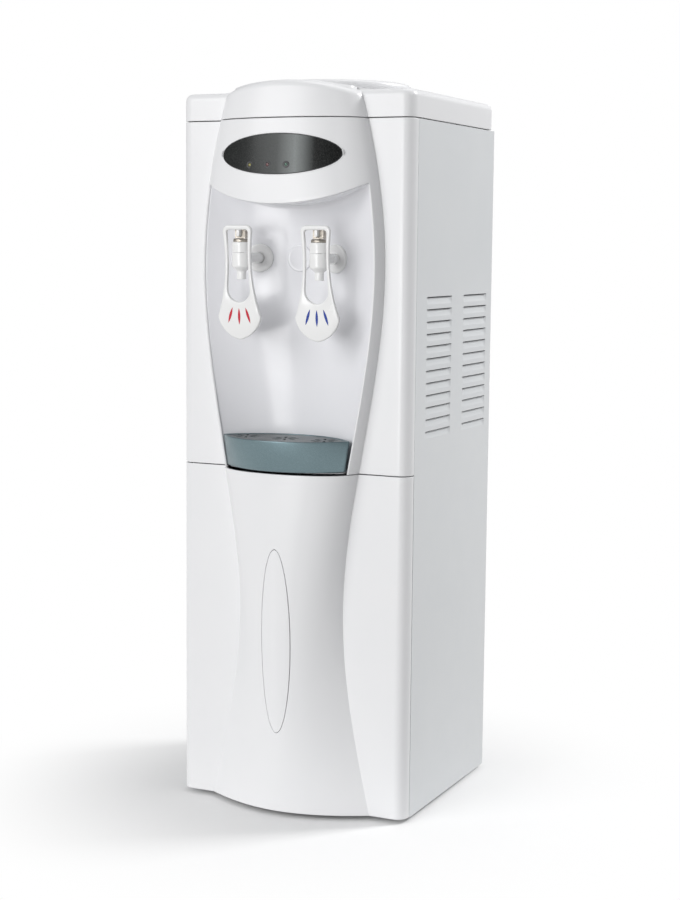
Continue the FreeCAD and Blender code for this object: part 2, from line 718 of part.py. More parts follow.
def build_front():
    """Upper front panel, niche liner and the indicator window with its lamps."""
    gap = size["seam_gap"]
    upper = front_skin("upper_front", (("door_seam", 1), ("seam_gap", 0.5)), (("cover_seam", 1), ("seam_gap", -0.5)),
                       "side_joint")
    low = size["door_seam"] + gap / 2
    window = computed("niche_window", niche_space(low - 2, 0))
    lens_low = size["lens_height"] - size["lens_half_height"]
    lens_high = size["lens_height"] + size["lens_half_height"]
    opening = oval("lens_opening", size["lens_half_width"] + 0.2, lens_low - 0.2, lens_high + 0.2, -80, -5)
    keep(cut("upper_front_panel", upper, window, opening), "upper_front_panel")

    thick = size["niche_wall_thick"]
    liner = niche_space(low, thick)
    space = niche_space(low + thick, 0)
    behind = Part.makeLoft([bulge_section(height, size["plastic_wall"], size["niche_depth_low"] + 20)
                            for height in levels(low - 1, size["niche_corner"] + 30, 60)], True)
    liner = liner.cut(space).common(behind)
    liner = cut("niche_shell", computed("niche_blank", liner),
                *[rod(f"niche_bore_{label}", "shank_radius + 0.5", (place, "shank_height"), "y", ("-16", "40"))
                  for label, place in (("hot", "0 - tap_offset"), ("cold", "tap_offset"), ("middle", "0"))])
    keep(liner, "niche_wall")

    lens_skin = bulge("lens_skin", lens_low - 15, lens_high + 15, 0, -5)
    lens_back = bulge("lens_back", lens_low - 20, lens_high + 20, size["lens_thick"], 2)
    lens_outline = oval("lens_outline", size["lens_half_width"], lens_low, lens_high, -80, -5)
    lamp_places = [f"led_middle + {index} * led_pitch" for index in (-1, 0, 1)]
    bores = [rod(f"lens_bore_{index}", "led_radius + 0.1", (place, "led_height"), "y", ("-80", "0"))
             for index, place in enumerate(lamp_places)]
    keep(cut("indicator_lens", shared("lens_blank", lens_skin, lens_outline), lens_back, *bores), "indicator_lens")
    for colour, place in zip(("yellow", "red", "green"), lamp_places):
        lamp_skin = bulge(f"{colour}_tip", lens_low, lens_high, -0.4, -5)
        stick = rod(f"{colour}_stick", "led_radius", (place, "led_height"), "y",
                    ("0 - depth_middle - 2", "10 - depth_neck"))
        trimmed = shared(f"{colour}_trimmed", stick, lamp_skin)
        keep(trimmed, f"{colour}_lamp")
    keep(box("indicator_board", ("led_middle - led_pitch - 12", "led_middle + led_pitch + 12"),
             ("10 - depth_neck", "11.6 - depth_neck"), ("led_height - 9", "led_height + 9")), "indicator_board")


# ---------------------------------------------------------------- taps

def build_tap(name, side):
    """One tap: body, bonnet, nut, stem, seal, spring, pin, lever and its marks."""
    axis = f"{side} * tap_offset"
    centre = (axis, "0 - tap_reach")

    profile = (
        ("nozzle_bore", "0"), ("nozzle_radius - 0.6", "0"), ("nozzle_radius", "0.8"),
        ("nozzle_radius", "nozzle_length"), ("barrel_radius", "nozzle_length + shoulder_length"),
        ("barrel_radius", "bonnet_height - nozzle_height"), ("barrel_bore", "bonnet_height - nozzle_height"),
        ("barrel_bore", "nozzle_length + shoulder_length"), ("nozzle_bore", "nozzle_length + shoulder_length"),
    )
    barrel = turned(f"{name}_barrel", profile)
    seat(barrel, axis, "0 - tap_reach", "nozzle_height")
    shank = rod(f"{name}_shank", "shank_radius - 0.1", (axis, "shank_height"), "y",
                ("0 - tap_reach + barrel_radius - 2", "shank_end"))
    port = rod(f"{name}_port", "hose_radius - 1.5", (axis, "shank_height"), "y",
               ("0 - tap_reach", "shank_end + 1"))
    room = rod(f"{name}_room", "barrel_bore", centre, "z",
               ("nozzle_height + nozzle_length + shoulder_length", "bonnet_height"))
    keep(cut(f"{name}_tap_body", fuse(f"{name}_casting", barrel, shank), port, room), f"{name}_tap_body")

    bonnet = turned(f"{name}_bonnet", (
        ("stem_radius + running_gap", "0"), ("barrel_radius", "0"), ("barrel_radius", "bonnet_length - 1.5"),
        ("barrel_radius - 1.5", "bonnet_length"), ("stem_radius + running_gap", "bonnet_length"),
    ))
    seat(bonnet, axis, "0 - tap_reach", "bonnet_height")

    nut = turned(f"{name}_nut", (
        ("stem_radius + running_gap", "0"), ("nut_radius - 0.6", "0"), ("nut_radius", "0.6"),
        ("nut_radius", "nut_length - 0.8"), ("nut_radius - 0.8", "nut_length"),
        ("stem_radius + running_gap", "nut_length"),
    ))
    seat(nut, axis, "0 - tap_reach", "bonnet_height + bonnet_length")

    ear_low = "bonnet_height + bonnet_length + nut_length + running_gap"
    rod_part = rod(f"{name}_stem_rod", "stem_radius", centre, "z",
                   ("bonnet_height - stem_drop", f"{ear_low} + 1.5"))
    block = box(f"{name}_clevis", (f"{axis} - ear_gap - ear_thick", f"{axis} + ear_gap + ear_thick"),
                ("0 - tap_reach - 5", "5 - tap_reach"), (ear_low, "pin_height + ear_height"))
    slot = box(f"{name}_slot", (f"{axis} - ear_gap", f"{axis} + ear_gap"),
               ("0 - tap_reach - 6", "6 - tap_reach"), (f"{ear_low} + 1.5", "pin_height + ear_height + 1"))
    bore = rod(f"{name}_pin_bore", "pin_radius", ("0 - tap_reach", "pin_height"), "x",
               (f"{axis} - ear_gap - ear_thick - 1", f"{axis} + ear_gap + ear_thick + 1"))
    stem = fuse(f"{name}_stem_solid", rod_part, block)
    keep(cut(f"{name}_valve_stem", stem, slot, bore), f"{name}_valve_stem")
    keep(rod(f"{name}_pivot_pin", "pin_radius", ("0 - tap_reach", "pin_height"), "x",
             (f"{axis} - ear_gap - ear_thick - 0.5", f"{axis} + ear_gap + ear_thick + 0.5")), f"{name}_pivot_pin")
    seal = rod(f"{name}_seal_disc", "barrel_bore - 2", centre, "z",
               ("nozzle_height + nozzle_length + shoulder_length + 0.05", "bonnet_height - stem_drop"))
    keep(seal, f"{name}_valve_seal")

    wire = size["spring_wire"]
    coil_radius = size["stem_radius"] + running_radius() + wire
    spring_low = size["bonnet_height"] - size["stem_drop"] + wire + 0.1
    spring_high = size["bonnet_height"] - wire - 0.1
    helix = Part.makeHelix(size["spring_pitch"], spring_high - spring_low, coil_radius)
    turns = [2 * math.pi * index / WIRE_SIDES for index in range(WIRE_SIDES)]
    rim = [Vector(coil_radius + wire * math.cos(turn), 0, wire * math.sin(turn)) for turn in turns]
    ring = Part.makePolygon(rim + [rim[0]])
    coil = Part.Wire(helix.Edges).makePipeShell([ring], True, True)
    coil.translate(Vector(int(side) * size["tap_offset"], -size["tap_reach"], spring_low))
    keep(computed(f"{name}_spring", coil), f"{name}_valve_spring")
    return bonnet, nut


def running_radius():
    """Room between the valve stem and its spring."""
    return size["running_gap"] + 0.5


def lever_outline():
    """The lever's front outline about its pin: head, waist, flared paddle and round tip."""
    head = size["lever_head"]
    head_half = size["lever_head_half"]
    waist = Vector(size["lever_waist_half"], 0, -size["lever_waist_drop"])
    wing = Vector(size["lever_wing_half"], 0, -size["lever_wing_drop"])
    tip = Vector(0, 0, -size["lever_tip_drop"])
    shoulder = Vector(head_half, 0, head - 8)
    top = Vector(head_half - 8, 0, head)
    corner = Vector(head_half - 2.3, 0, head - 2.3)
    rise = size["lever_tip_drop"] - size["lever_wing_drop"]
    belly = Vector(wing.x * 0.62, 0, -size["lever_wing_drop"] - rise * 0.72)
    side = Part.BezierCurve()
    side.setPoles([shoulder, Vector(waist.x - 1, 0, -18), Vector(waist.x - 2, 0, waist.z), Vector(waist.x - 2, 0, -62),
                   Vector(waist.x + 2, 0, -88), wing])
    return top, corner, shoulder, side, wing, belly, tip


def mirrored(point):
    """The same point on the other side."""
    return Vector(-point.x, point.y, point.z)


def lever_face():
    """The lever's front face with its window."""
    top, corner, shoulder, side, wing, belly, tip = lever_outline()
    left_side = Part.BezierCurve()
    left_side.setPoles([mirrored(pole) for pole in reversed(side.getPoles())])
    edges = [
        Part.Arc(top, corner, shoulder).toShape(),
        side.toShape(),
        Part.Arc(wing, belly, tip).toShape(),
        Part.Arc(tip, mirrored(belly), mirrored(wing)).toShape(),
        left_side.toShape(),
        Part.Arc(mirrored(shoulder), mirrored(corner), mirrored(top)).toShape(),
        Part.LineSegment(mirrored(top), top).toShape(),
    ]
    outer = Part.Face(Part.Wire(edges))
    bar = size["lever_bar"]
    half_top = size["lever_head_half"] - bar
    half_waist = size["barrel_radius"] + size["lever_side_gap"]
    roof = size["lever_head"] - bar
    low = -size["lever_window_drop"]
    upper = Vector(half_top, 0, roof - 4)
    inner_side = Part.BezierCurve()
    inner_side.setPoles([upper, Vector(half_waist, 0, -20), Vector(half_waist, 0, -40),
                         Vector(half_waist + 1, 0, -56), Vector(half_waist + 4, 0, low + 20),
                         Vector(half_waist + 2, 0, low + 12)])
    foot = Vector(half_waist + 2, 0, low + 12)
    inner_left = Part.BezierCurve()
    inner_left.setPoles([mirrored(pole) for pole in reversed(inner_side.getPoles())])
    inner = [
        Part.Arc(Vector(half_top - 4, 0, roof), Vector(half_top - 1.2, 0, roof - 1.2), upper).toShape(),
        inner_side.toShape(),
        Part.Arc(foot, Vector(0, 0, low), mirrored(foot)).toShape(),
        inner_left.toShape(),
        Part.Arc(mirrored(upper), Vector(1.2 - half_top, 0, roof - 1.2), Vector(4 - half_top, 0, roof)).toShape(),
        Part.LineSegment(Vector(4 - half_top, 0, roof), Vector(half_top - 4, 0, roof)).toShape(),
    ]
    return outer.cut(Part.Face(Part.Wire(inner)))


def slit(index):
    """One pointed colour slit of the paddle, fanned out from the middle."""
    half = size["mark_length"] / 2
    wide = size["mark_half"]
    top = Vector(0, 0, half)
    low = Vector(0, 0, -half)
    right = Vector(wide, 0, -1)
    face = Part.Face(Part.Wire([Part.Arc(top, right, low).toShape(), Part.Arc(low, mirrored(right), top).toShape()]))
    face.rotate(Vector(), Vector(0, 1, 0), 14 * index)
    face.translate(Vector(size["mark_pitch"] * index, 0, -size["mark_drop"] + 1.5 * abs(index)))
    return face


def build_lever(name, side):
    """The lever frame with its tongue, and the coloured inlays in its paddle."""
    thick = size["lever_thick"]
    frame = lever_face().extrude(Vector(0, thick, 0))
    marks = [slit(index).extrude(Vector(0, size["mark_depth"], 0)) for index in (-1, 0, 1)]
    for mark in marks:
        frame = frame.cut(mark)
    lean = size["lever_lean"]
    ahead = size["lever_plane"] - size["tap_reach"]
    offset = Vector(int(side) * size["tap_offset"], -size["tap_reach"], size["pin_height"])
    for shape in [frame] + marks:
        shape.translate(Vector(0, -ahead - thick / 2, 0))
        shape.rotate(Vector(0, -ahead, 0), Vector(1, 0, 0), lean)
        shape.translate(offset)
    axis = f"{side} * tap_offset"
    tongue = box(f"{name}_tongue", (f"{axis} - ear_gap + running_gap", f"{axis} + ear_gap - running_gap"),
                 ("0 - lever_plane", "4.5 - tap_reach"), ("pin_height - 4.5", "pin_height + lever_head - lever_bar + 1"))
    bore = rod(f"{name}_tongue_bore", "pin_radius + pin_gap", ("0 - tap_reach", "pin_height"), "x",
               (f"{axis} - ear_gap - 1", f"{axis} + ear_gap + 1"))
    frame_item = computed(f"{name}_frame", frame)
    keep(cut(f"{name}_lever", fuse(f"{name}_lever_solid", frame_item, tongue), bore), f"{name}_lever")
    keep(computed(f"{name}_marks", Part.makeCompound(marks)), f"{name}_lever_marks")


def build_taps():
    """Both taps with their flanges, lock nuts and the blanking plug."""
    space = computed("niche_front_space", niche_space(size["door_seam"] + 5, 0))
    flanges = []
    lock_nuts = []
    bonnets = []
    nuts = []
    for name, side in (("hot", "-1"), ("cold", "1")):
        bonnet, nut = build_tap(name, side)
        bonnets.append(bonnet)
        nuts.append(nut)
        build_lever(name, side)
        axis = f"{side} * tap_offset"
        wall_y = wall_depth(size["tap_offset"], size["shank_height"])
        slope = wall_slope(size["tap_offset"], size["shank_height"])
        turn = math.degrees(math.atan(slope)) * -int(side)
        radius = size["flange_radius"]
        start = Vector(int(side) * size["tap_offset"], wall_y, size["shank_height"])
        normal = Rotation(Vector(0, 0, 1), turn).multVec(Vector(0, -1, 0))
        disc = Part.makeCylinder(radius, size["flange_thick"] + 8, start - normal * 8, normal)
        disc = computed(f"{name}_disc", disc)
        flange = shared(f"{name}_flange_blank", disc, space)
        flanges.append(cut(f"{name}_flange", flange, rod(f"{name}_flange_bore", "shank_radius", (axis, "shank_height"),
                                                         "y", ("-16", "40"))))
        lock_nuts.append(pipe(f"{name}_lock_nut", "shank_radius + 6", "shank_radius", (axis, "shank_height"), "y",
                              ("niche_depth_high + 4", "niche_depth_high + 11")))
    keep(group("tap_flanges", *flanges), "tap_flanges")
    keep(group("tap_lock_nuts", *lock_nuts), "tap_lock_nuts")
    keep(group("tap_bonnets", *bonnets), "tap_bonnets")
    keep(group("bonnet_nuts", *nuts), "bonnet_nuts")
    plug = rod("plug_disc", "plug_radius", ("0", "shank_height"), "y",
               ("niche_depth_high - 4", "niche_depth_high + 4"))
    stud = rod("plug_stud", "shank_radius", ("0", "shank_height"), "y",
               ("niche_depth_high - 2", "niche_depth_high + 12"))
    keep(fuse("plug_joined", shared("plug_face", plug, space), stud), "tap_blanking_plug")


def wall_radius(height):
    """Radius of the scooped wall in plan."""
    half = niche_half(height)
    rise = niche_depth(height) + size["niche_lip"]
    return (half * half + rise * rise) / (2 * rise)


def wall_depth(across, height):
    """Depth of the scooped wall at a distance from the centre line."""
    radius = wall_radius(height)
    return niche_depth(height) - radius + math.sqrt(radius * radius - across * across)


def wall_slope(across, height):
    """How fast the scooped wall comes forward at a distance from the centre line."""
    radius = wall_radius(height)
    return across / math.sqrt(radius * radius - across * across)


# ---------------------------------------------------------------- drip tray

def lens_face(half, front, back, lip, height):
    """A lens-shaped face: an arc in front and an arc behind, meeting at two points."""
    left = Vector(-half, lip, height)
    right = Vector(half, lip, height)
    edges = [
        Part.Arc(left, Vector(0, back, height), right).toShape(),
        Part.Arc(right, Vector(0, front, height), left).toShape(),
    ]
    return Part.Wire(edges)


def tray_loft(name, low, high, inset):
    """The tray's leaning body between two heights, pulled in by inset."""
    wires = []
    half_low = niche_half(size["tray_floor"]) - size["tray_gap_low"]
    half_top = niche_half(size["tray_floor"] + size["tray_height"]) - size["tray_gap_top"]
    for height in (low, high):
        part = (height - size["tray_floor"]) / size["tray_height"]
        half = half_low + (half_top - half_low) * part
        front = size["tray_front_low"] + (size["tray_reach"] - size["tray_front_low"]) * part
        wires.append(lens_face(half - 1.6 * inset, inset - front, size["tray_back"] - inset,
                               -size["niche_lip"] - 2, height))
    return computed(name, Part.makeLoft(wires, True, True))


def build_tray():
    """Drip tray and the grille that lies in its rim."""
    low = size["tray_floor"]
    high = low + size["tray_height"]
    wall = size["tray_wall"]
    ledge = high - size["grille_thick"] - 1
    outside = tray_loft("tray_outside", low, high, 0)
    basin = tray_loft("tray_basin", low + wall, ledge + 0.5, size["grille_ledge"])
    rim = tray_loft("tray_rim", ledge, high + 0.5, wall)
    keep(cut("drip_tray", outside, basin, rim), "drip_tray")
    plate = tray_loft("grille_plate", ledge + 0.1, high - 0.9, wall + 0.6)
    petals = []
    middle = (size["tray_back"] - size["tray_reach"]) / 2 + 1
    reach = size["petal_outer"] - size["petal_inner"]
    for flower in (-1, 0, 1):
        for index in range(8):
            petal = Part.makeBox(reach, 2 * size["petal_half"], size["grille_thick"] + 4,
                                 Vector(size["petal_inner"], -size["petal_half"], ledge - 2))
            petal.rotate(Vector(), Vector(0, 0, 1), 45 * index + 22.5)
            petal.translate(Vector(size["rosette_pitch"] * flower, middle, 0))
            petals.append(petal)
    keep(cut("drip_grille", plate, computed("grille_petals", Part.makeCompound(petals))), "drip_grille")


# ---------------------------------------------------------------- door

def build_door():
    """Door skin with its inlay, its liner, and the hinge brackets with their pins."""
    top = (("door_seam", 1), ("seam_gap", -0.5))
    skin = front_skin("door", (("seam_gap", 1),), top, "side_joint - swing_gap + 0.5")
    inlay_low = size["inlay_low"]
    inlay_high = size["inlay_high"]
    gap = size["inlay_gap"]
    thick = size["inlay_thick"]
    outer = bulge("inlay_skin", inlay_low - 15, inlay_high + 15, -1, 2)
    deep = bulge("inlay_floor", inlay_low - 20, inlay_high + 20, thick, 3)
    face = oval("inlay_outline", size["inlay_half"] + gap, inlay_low - gap, inlay_high + gap, -80, -5)
    recess = cut("inlay_recess", shared("inlay_region", outer, face), deep)
    pivot = ("hinge_inset_x - cabinet_width / 2", "hinge_inset_y")
    top_text = "door_seam - seam_gap / 2"
    pivots = []
    for label, span in (("low", ("seam_gap", "seam_gap + hinge_reach")),
                        ("high", (f"{top_text} - hinge_reach", top_text))):
        pivots.append((label, span))
    bosses = [rod(f"door_boss_{label}", "hinge_pin + 2.5", pivot, "z", span) for label, span in pivots]
    within = box("door_boss_limit", ("1 - cabinet_width / 2", "0"), ("1", "side_joint - swing_gap"),
                 ("seam_gap", top_text))
    bosses = shared("door_bosses", fuse("door_boss_pair", *bosses), within)
    bores = [rod(f"door_bore_{label}", "hinge_pin + pin_gap", pivot, "z",
                 ("0" if label == "low" else span[0], span[1] if label == "low" else f"{top_text} + 1"))
             for label, span in pivots]
    keep(cut("door_panel", fuse("door_with_bosses", skin, bosses), recess, *bores), "door_panel")

    flush = bulge("inlay_flush", inlay_low - 15, inlay_high + 15, 0, 2)
    plug = oval("inlay_plug", size["inlay_half"], inlay_low, inlay_high, -80, -5)
    keep(cut("inlay_blank", shared("inlay_shape", flush, plug), bulge("inlay_back", inlay_low - 20,
                                                                       inlay_high + 20, thick, 3)), "door_inlay")

    half = "cabinet_width / 2 - liner_inset"
    keep(box("door_liner", (f"0 - ({half})", half), ("plastic_wall", "plastic_wall + liner_thick"),
             ("pan_height + 12", "compartment_top - 8")), "door_liner")

    brackets = []
    for label, plate_back, plate_span, pin_span in (
        ("low", "side_joint + 6", ("0 - sheet_wall", "0"), ("0 - sheet_wall", "seam_gap + hinge_reach - 1")),
        ("high", "side_joint + 4", ("door_seam + 4", "door_seam + 4 + sheet_wall * 2"),
         (f"{top_text} - hinge_reach + 1", "door_seam + 4 + sheet_wall * 2")),
    ):
        plate = box(f"hinge_plate_{label}",
                    ("hinge_inset_x - hinge_pin - cabinet_width / 2", "liner_inset - 2 - cabinet_width / 2"),
                    ("hinge_inset_y - hinge_pin", plate_back), plate_span)
        pin = rod(f"hinge_pin_{label}", "hinge_pin", pivot, "z", pin_span)
        brackets.append([plate, pin])
    brackets[0].append(box("hinge_foot", ("16 - cabinet_width / 2", "liner_inset - 2 - cabinet_width / 2"),
                           ("side_joint + 6 - sheet_wall", "side_joint + 6"), ("0 - sheet_wall", "pan_height")))
    brackets = [fuse(f"hinge_{index}", *pieces) for index, pieces in enumerate(brackets)]
    keep(group("door_hinges", *brackets), "door_hinges")
    keep(box("catch_body", ("cabinet_width / 2 - liner_inset + 1.5", "cabinet_width / 2 - 15"),
             ("side_joint + 2", "side_joint + 22"), ("compartment_top - 26", "compartment_top - 4")), "door_catch")


# ---------------------------------------------------------------- inside

def build_inside():
    """Storage compartment, shelf, tanks, cooler, supply, hoses, drain, gland and switches."""
    half = "cabinet_width / 2 - liner_inset"
    wall = "compartment_wall"
    outer = box("store_outside", (f"0 - ({half})", half), ("side_joint + 2", "compartment_depth"),
                ("pan_height + 1", "compartment_top"))
    inner = box("store_inside", (f"{wall} - ({half})", f"{half} - {wall}"),
                ("side_joint + 1", f"compartment_depth - {wall}"),
                (f"pan_height + 1 + {wall}", f"compartment_top - {wall}"))
    keep(cut("storage_compartment", outer, inner), "storage_compartment")

    inside_half = "cabinet_width / 2 - sheet_wall"
    plate = box("shelf_plate", (f"0 - ({inside_half})", inside_half), ("shelf_start", "back_plane - 3"),
                ("shelf_height", "shelf_height + sheet_wall"))
    lips = [box(f"shelf_lip_{label}", limits, ("shelf_start", "back_plane - 3"), ("shelf_height - 14", "shelf_height"))
            for label, limits in (("left", (f"0 - ({inside_half})", f"sheet_wall - ({inside_half})")),
                                  ("right", (f"{inside_half} - sheet_wall", inside_half)))]
    keep(fuse("tank_shelf", plate, *lips), "tank_shelf")

    cradle_low = "tank_low - jacket_base - 2 * sheet_wall"
    cradle_high = "tank_low - jacket_base"
    cradle = box("cradle_plate", (f"0 - ({inside_half})", inside_half), ("deck_centre - 76", "deck_centre + 88"),
                 (cradle_low, cradle_high))
    cradle_lips = [box(f"cradle_lip_{label}", limits, ("deck_centre - 76", "deck_centre + 88"),
                       (cradle_high, f"{cradle_high} + 14"))
                   for label, limits in (("left", (f"0 - ({inside_half})", f"sheet_wall - ({inside_half})")),
                                         ("right", (f"{inside_half} - sheet_wall", inside_half)))]
    cold_port = ("port_side", "deck_centre - 35")
    feed_port = ("feed_side", "deck_centre + 25")
    holes = [rod(f"cradle_hole_{label}", "hose_radius + 1", place, "z", ("tank_low - jacket_base - 8", "tank_low - 1"))
             for label, place in (("cold", cold_port), ("feed", feed_port))]
    keep(cut("tank_cradle", fuse("cradle_joined", cradle, *cradle_lips), *holes), "tank_cradle")

    centre = ("0", "deck_centre")
    drum = rod("cold_drum", "tank_radius", centre, "z", ("tank_low", "tank_high"))
    cavity = rod("cold_cavity", "tank_radius - 1", centre, "z", ("tank_low + 1", "tank_high - 1"))
    mouth = rod("cold_mouth", "neck_radius + plastic_wall + 1", centre, "z", ("tank_high - 5", "tank_high + 1"))
    keep(cut("cold_tank", drum, cavity, mouth), "cold_tank")
    foam = rod("foam_drum", "tank_radius + jacket_thick", centre, "z", ("tank_low - jacket_base", "tank_high + 8"))
    core = rod("foam_core", "tank_radius + 0.05", centre, "z", ("tank_low", "tank_high + 9"))
    block_top = ("cooler_height + block_half", "cooler_height - block_half")
    block_y = ("deck_centre + tank_radius - 6", "deck_centre + tank_radius + jacket_thick + 8")
    foam_window = box("foam_window", ("0 - block_half", "block_half"), ("deck_centre + tank_radius - 8", block_y[1]),
                      (block_top[1], block_top[0]))
    foam_holes = [rod(f"foam_hole_{label}", "hose_radius + 0.2", place, "z", ("tank_low - jacket_base - 1", "tank_low"))
                  for label, place in (("cold", cold_port), ("feed", feed_port))]
    keep(cut("cold_tank_jacket", foam, core, foam_window, *foam_holes), "cold_tank_jacket")
    block = box("block_blank", ("0 - block_half", "block_half"), block_y, (block_top[1], block_top[0]))
    keep(cut("cooling_block", block, rod("block_hollow", "tank_radius + 0.05", centre, "z", ("tank_low", "tank_high"))),
         "cooling_block")

    module_y = (block_y[1], f"{block_y[1]} + module_thick")
    keep(box("thermoelectric_module", ("0 - module_half", "module_half"), module_y,
             ("cooler_height - module_half", "cooler_height + module_half")), "thermoelectric_module")
    plate_y = (module_y[1], f"{module_y[1]} + sink_base")
    sink = [box("sink_plate", ("0 - sink_half", "sink_half"), plate_y,
                ("cooler_height - sink_half", "cooler_height + sink_half"))]
    fin_count = 12
    for index in range(fin_count):
        near = f"0 - sink_half + {index} * (2 * sink_half - fin_thick) / {fin_count - 1}"
        sink.append(box(f"sink_fin_{index}", (near, f"{near} + fin_thick"), (plate_y[1], f"{plate_y[1]} + fin_depth"),
                        ("cooler_height - sink_half", "cooler_height + sink_half")))
    keep(fuse("heat_sink", *sink), "heat_sink")
    fan_y = (f"{plate_y[1]} + fin_depth + 0.2", f"{plate_y[1]} + fin_depth + 0.2 + fan_depth")
    fan_centre = ("0", "cooler_height")
    frame = box("fan_square", ("0 - fan_half", "fan_half"), fan_y,
                ("cooler_height - fan_half", "cooler_height + fan_half"))
    hole = rod("fan_hole", "fan_bore", fan_centre, "y", (f"{fan_y[0]} - 1", f"{fan_y[1]} + 1"))
    spokes = [box("fan_spoke_level", ("0 - fan_half", "fan_half"), (fan_y[0], f"{fan_y[0]} + 2"),
                  ("cooler_height - 2", "cooler_height + 2")),
              box("fan_spoke_upright", ("-2", "2"), (fan_y[0], f"{fan_y[0]} + 2"),
                  ("cooler_height - fan_half", "cooler_height + fan_half")),
              rod("fan_motor", "hub_radius - 2", fan_centre, "y", (fan_y[0], f"{fan_y[0]} + 3"))]
    keep(fuse("fan_frame", cut("fan_ring", frame, hole), *spokes), "fan_frame")
    hub = rod("fan_hub", "hub_radius", fan_centre, "y", (f"{fan_y[0]} + 4", f"{fan_y[1]} - 1"))
    blades = []
    fan_start = (size["deck_centre"] + size["tank_radius"] + size["jacket_thick"] + 8 + size["module_thick"]
                 + size["sink_base"] + size["fin_depth"] + 0.2)
    for index in range(7):
        blade = Part.makeBox(size["fan_tip"] - size["hub_radius"] + 3, 1.6, 14,
                             Vector(size["hub_radius"] - 3, -0.8, -7))
        blade.rotate(Vector(), Vector(1, 0, 0), 40)
        blade.rotate(Vector(), Vector(0, 1, 0), index * 360 / 7)
        blade.translate(Vector(0, fan_start + 4 + (size["fan_depth"] - 5) / 2, size["cooler_height"]))
        blades.append(computed(f"fan_blade_{index}", blade))
    keep(fuse("fan_rotor", hub, *blades), "fan_rotor")

    boiler_centre = ("0 - tap_offset", "deck_centre - 25")
    boiler_top = "shelf_height + sheet_wall + boiler_height"
    shell = rod("boiler_shell", "boiler_radius", boiler_centre, "z", ("shelf_height + sheet_wall", boiler_top))
    void = rod("boiler_void", "boiler_radius - 1", boiler_centre, "z",
               ("shelf_height + sheet_wall + 1", f"{boiler_top} - 1"))
    keep(cut("hot_tank", shell, void), "hot_tank")
    keep(box("power_supply", ("supply_start", "supply_start + supply_width"),
             ("deck_centre + 5", "deck_centre + 5 + supply_depth"),
             ("shelf_height + sheet_wall", "shelf_height + sheet_wall + supply_height")), "power_supply")

    shank_z = size["shank_height"]
    reach = size["shank_end"]
    offset = size["tap_offset"]
    tank_y = size["deck_centre"]
    boiler_y = tank_y - 25
    boiler_high = size["shelf_height"] + size["sheet_wall"] + size["boiler_height"]
    radius = size["hose_radius"]
    port = size["port_side"]
    feed = size["feed_side"]
    hot_hose = hose("hot_hose", ((-offset, reach, shank_z), (-offset, boiler_y, shank_z),
                                 (-offset, boiler_y, boiler_high)), radius, 22)
    cold_hose = hose("cold_hose", ((offset, reach, shank_z), (offset, tank_y - 52, shank_z),
                                   (port, tank_y - 35, shank_z), (port, tank_y - 35, size["tank_low"])), radius, 9)
    feed_z = boiler_high - 30
    feed_hose = hose("feed_hose", ((feed, tank_y + 25, size["tank_low"]), (feed, tank_y + 25, feed_z),
                                   (feed, boiler_y, feed_z),
                                   (size["boiler_radius"] - offset, boiler_y, feed_z)), radius, 8)
    keep(group("silicone_hoses", hot_hose, cold_hose, feed_hose), "silicone_hoses")

    drain = ("0 - tap_offset", "drain_height")
    tube = pipe("drain_tube", "drain_radius", "drain_radius - 2.5", drain, "y",
                ("deck_centre - 25 + boiler_radius - 0.6", "cabinet_depth + 2"))
    collar = pipe("drain_collar", "drain_radius + 5", "drain_radius - 0.5", drain, "y",
                  ("back_plane + sheet_wall", "back_plane + sheet_wall + 2"))
    keep(cut("drain_spout", fuse("drain_joined", tube, collar),
             rod("drain_clear", "boiler_radius", boiler_centre, "z", ("shelf_height", boiler_top))), "drain_spout")
    cap = rod("cap_blank", "drain_radius + 4", drain, "y",
              ("back_plane + sheet_wall + 2.3", "cabinet_depth + back_reach"))
    cap_hole = rod("cap_hole", "drain_radius + running_gap", drain, "y", ("back_plane", "cabinet_depth + 2.4"))
    keep(cut("drain_cap", cap, cap_hole), "drain_cap")

    gland_place = ("switch_side", "gland_height")
    body = rod("gland_body", "gland_bore + 4.2", gland_place, "y", ("back_plane - 8", "back_plane + 10"))
    ring = rod("gland_ring", "gland_bore + 7", gland_place, "y", ("back_plane + sheet_wall", "back_plane + 4"))
    bore = rod("gland_hole", "gland_bore", gland_place, "y", ("back_plane - 9", "back_plane + 12"))
    keep(cut("cord_gland", fuse("gland_joined", body, ring), bore), "cord_gland")

    case = box("switch_case", ("switch_side - 25.5", "switch_side + 25.5"), ("back_plane - 18", "back_plane + 2.4"),
               ("switch_height - 13.5", "switch_height + 13.5"))
    bezel = box("switch_bezel", ("switch_side - 28", "switch_side + 28"),
                ("back_plane + sheet_wall", "back_plane + 2.4"), ("switch_height - 16", "switch_height + 16"))
    wells = []
    for label, centre_x in (("hot", "switch_side - rocker_side"), ("cold", "switch_side + rocker_side")):
        wells.append(box(f"{label}_well", (f"{centre_x} - 9.5", f"{centre_x} + 9.5"),
                         ("back_plane - 12", "back_plane + 3"), ("switch_height - 11", "switch_height + 11")))
        pivot_y = size["back_plane"] - 3
        profile = [Vector(0, 3.6, -9.6), Vector(0, 4.9, 9.6), Vector(0, -4.5, 8.4), Vector(0, -4.5, -8.4)]
        rocker = Part.Face(Part.makePolygon(profile + [profile[0]])).extrude(Vector(18, 0, 0))
        shift = -size["rocker_side"] if label == "hot" else size["rocker_side"]
        rocker.translate(Vector(size["switch_side"] + shift - 9, pivot_y, size["switch_height"]))
        keep(computed(f"{label}_rocker_solid", rocker), f"{label}_rocker")
    keep(cut("switch_housing", fuse("switch_solid", case, bezel), *wells), "switch_housing")


# ---------------------------------------------------------------- build, check and write

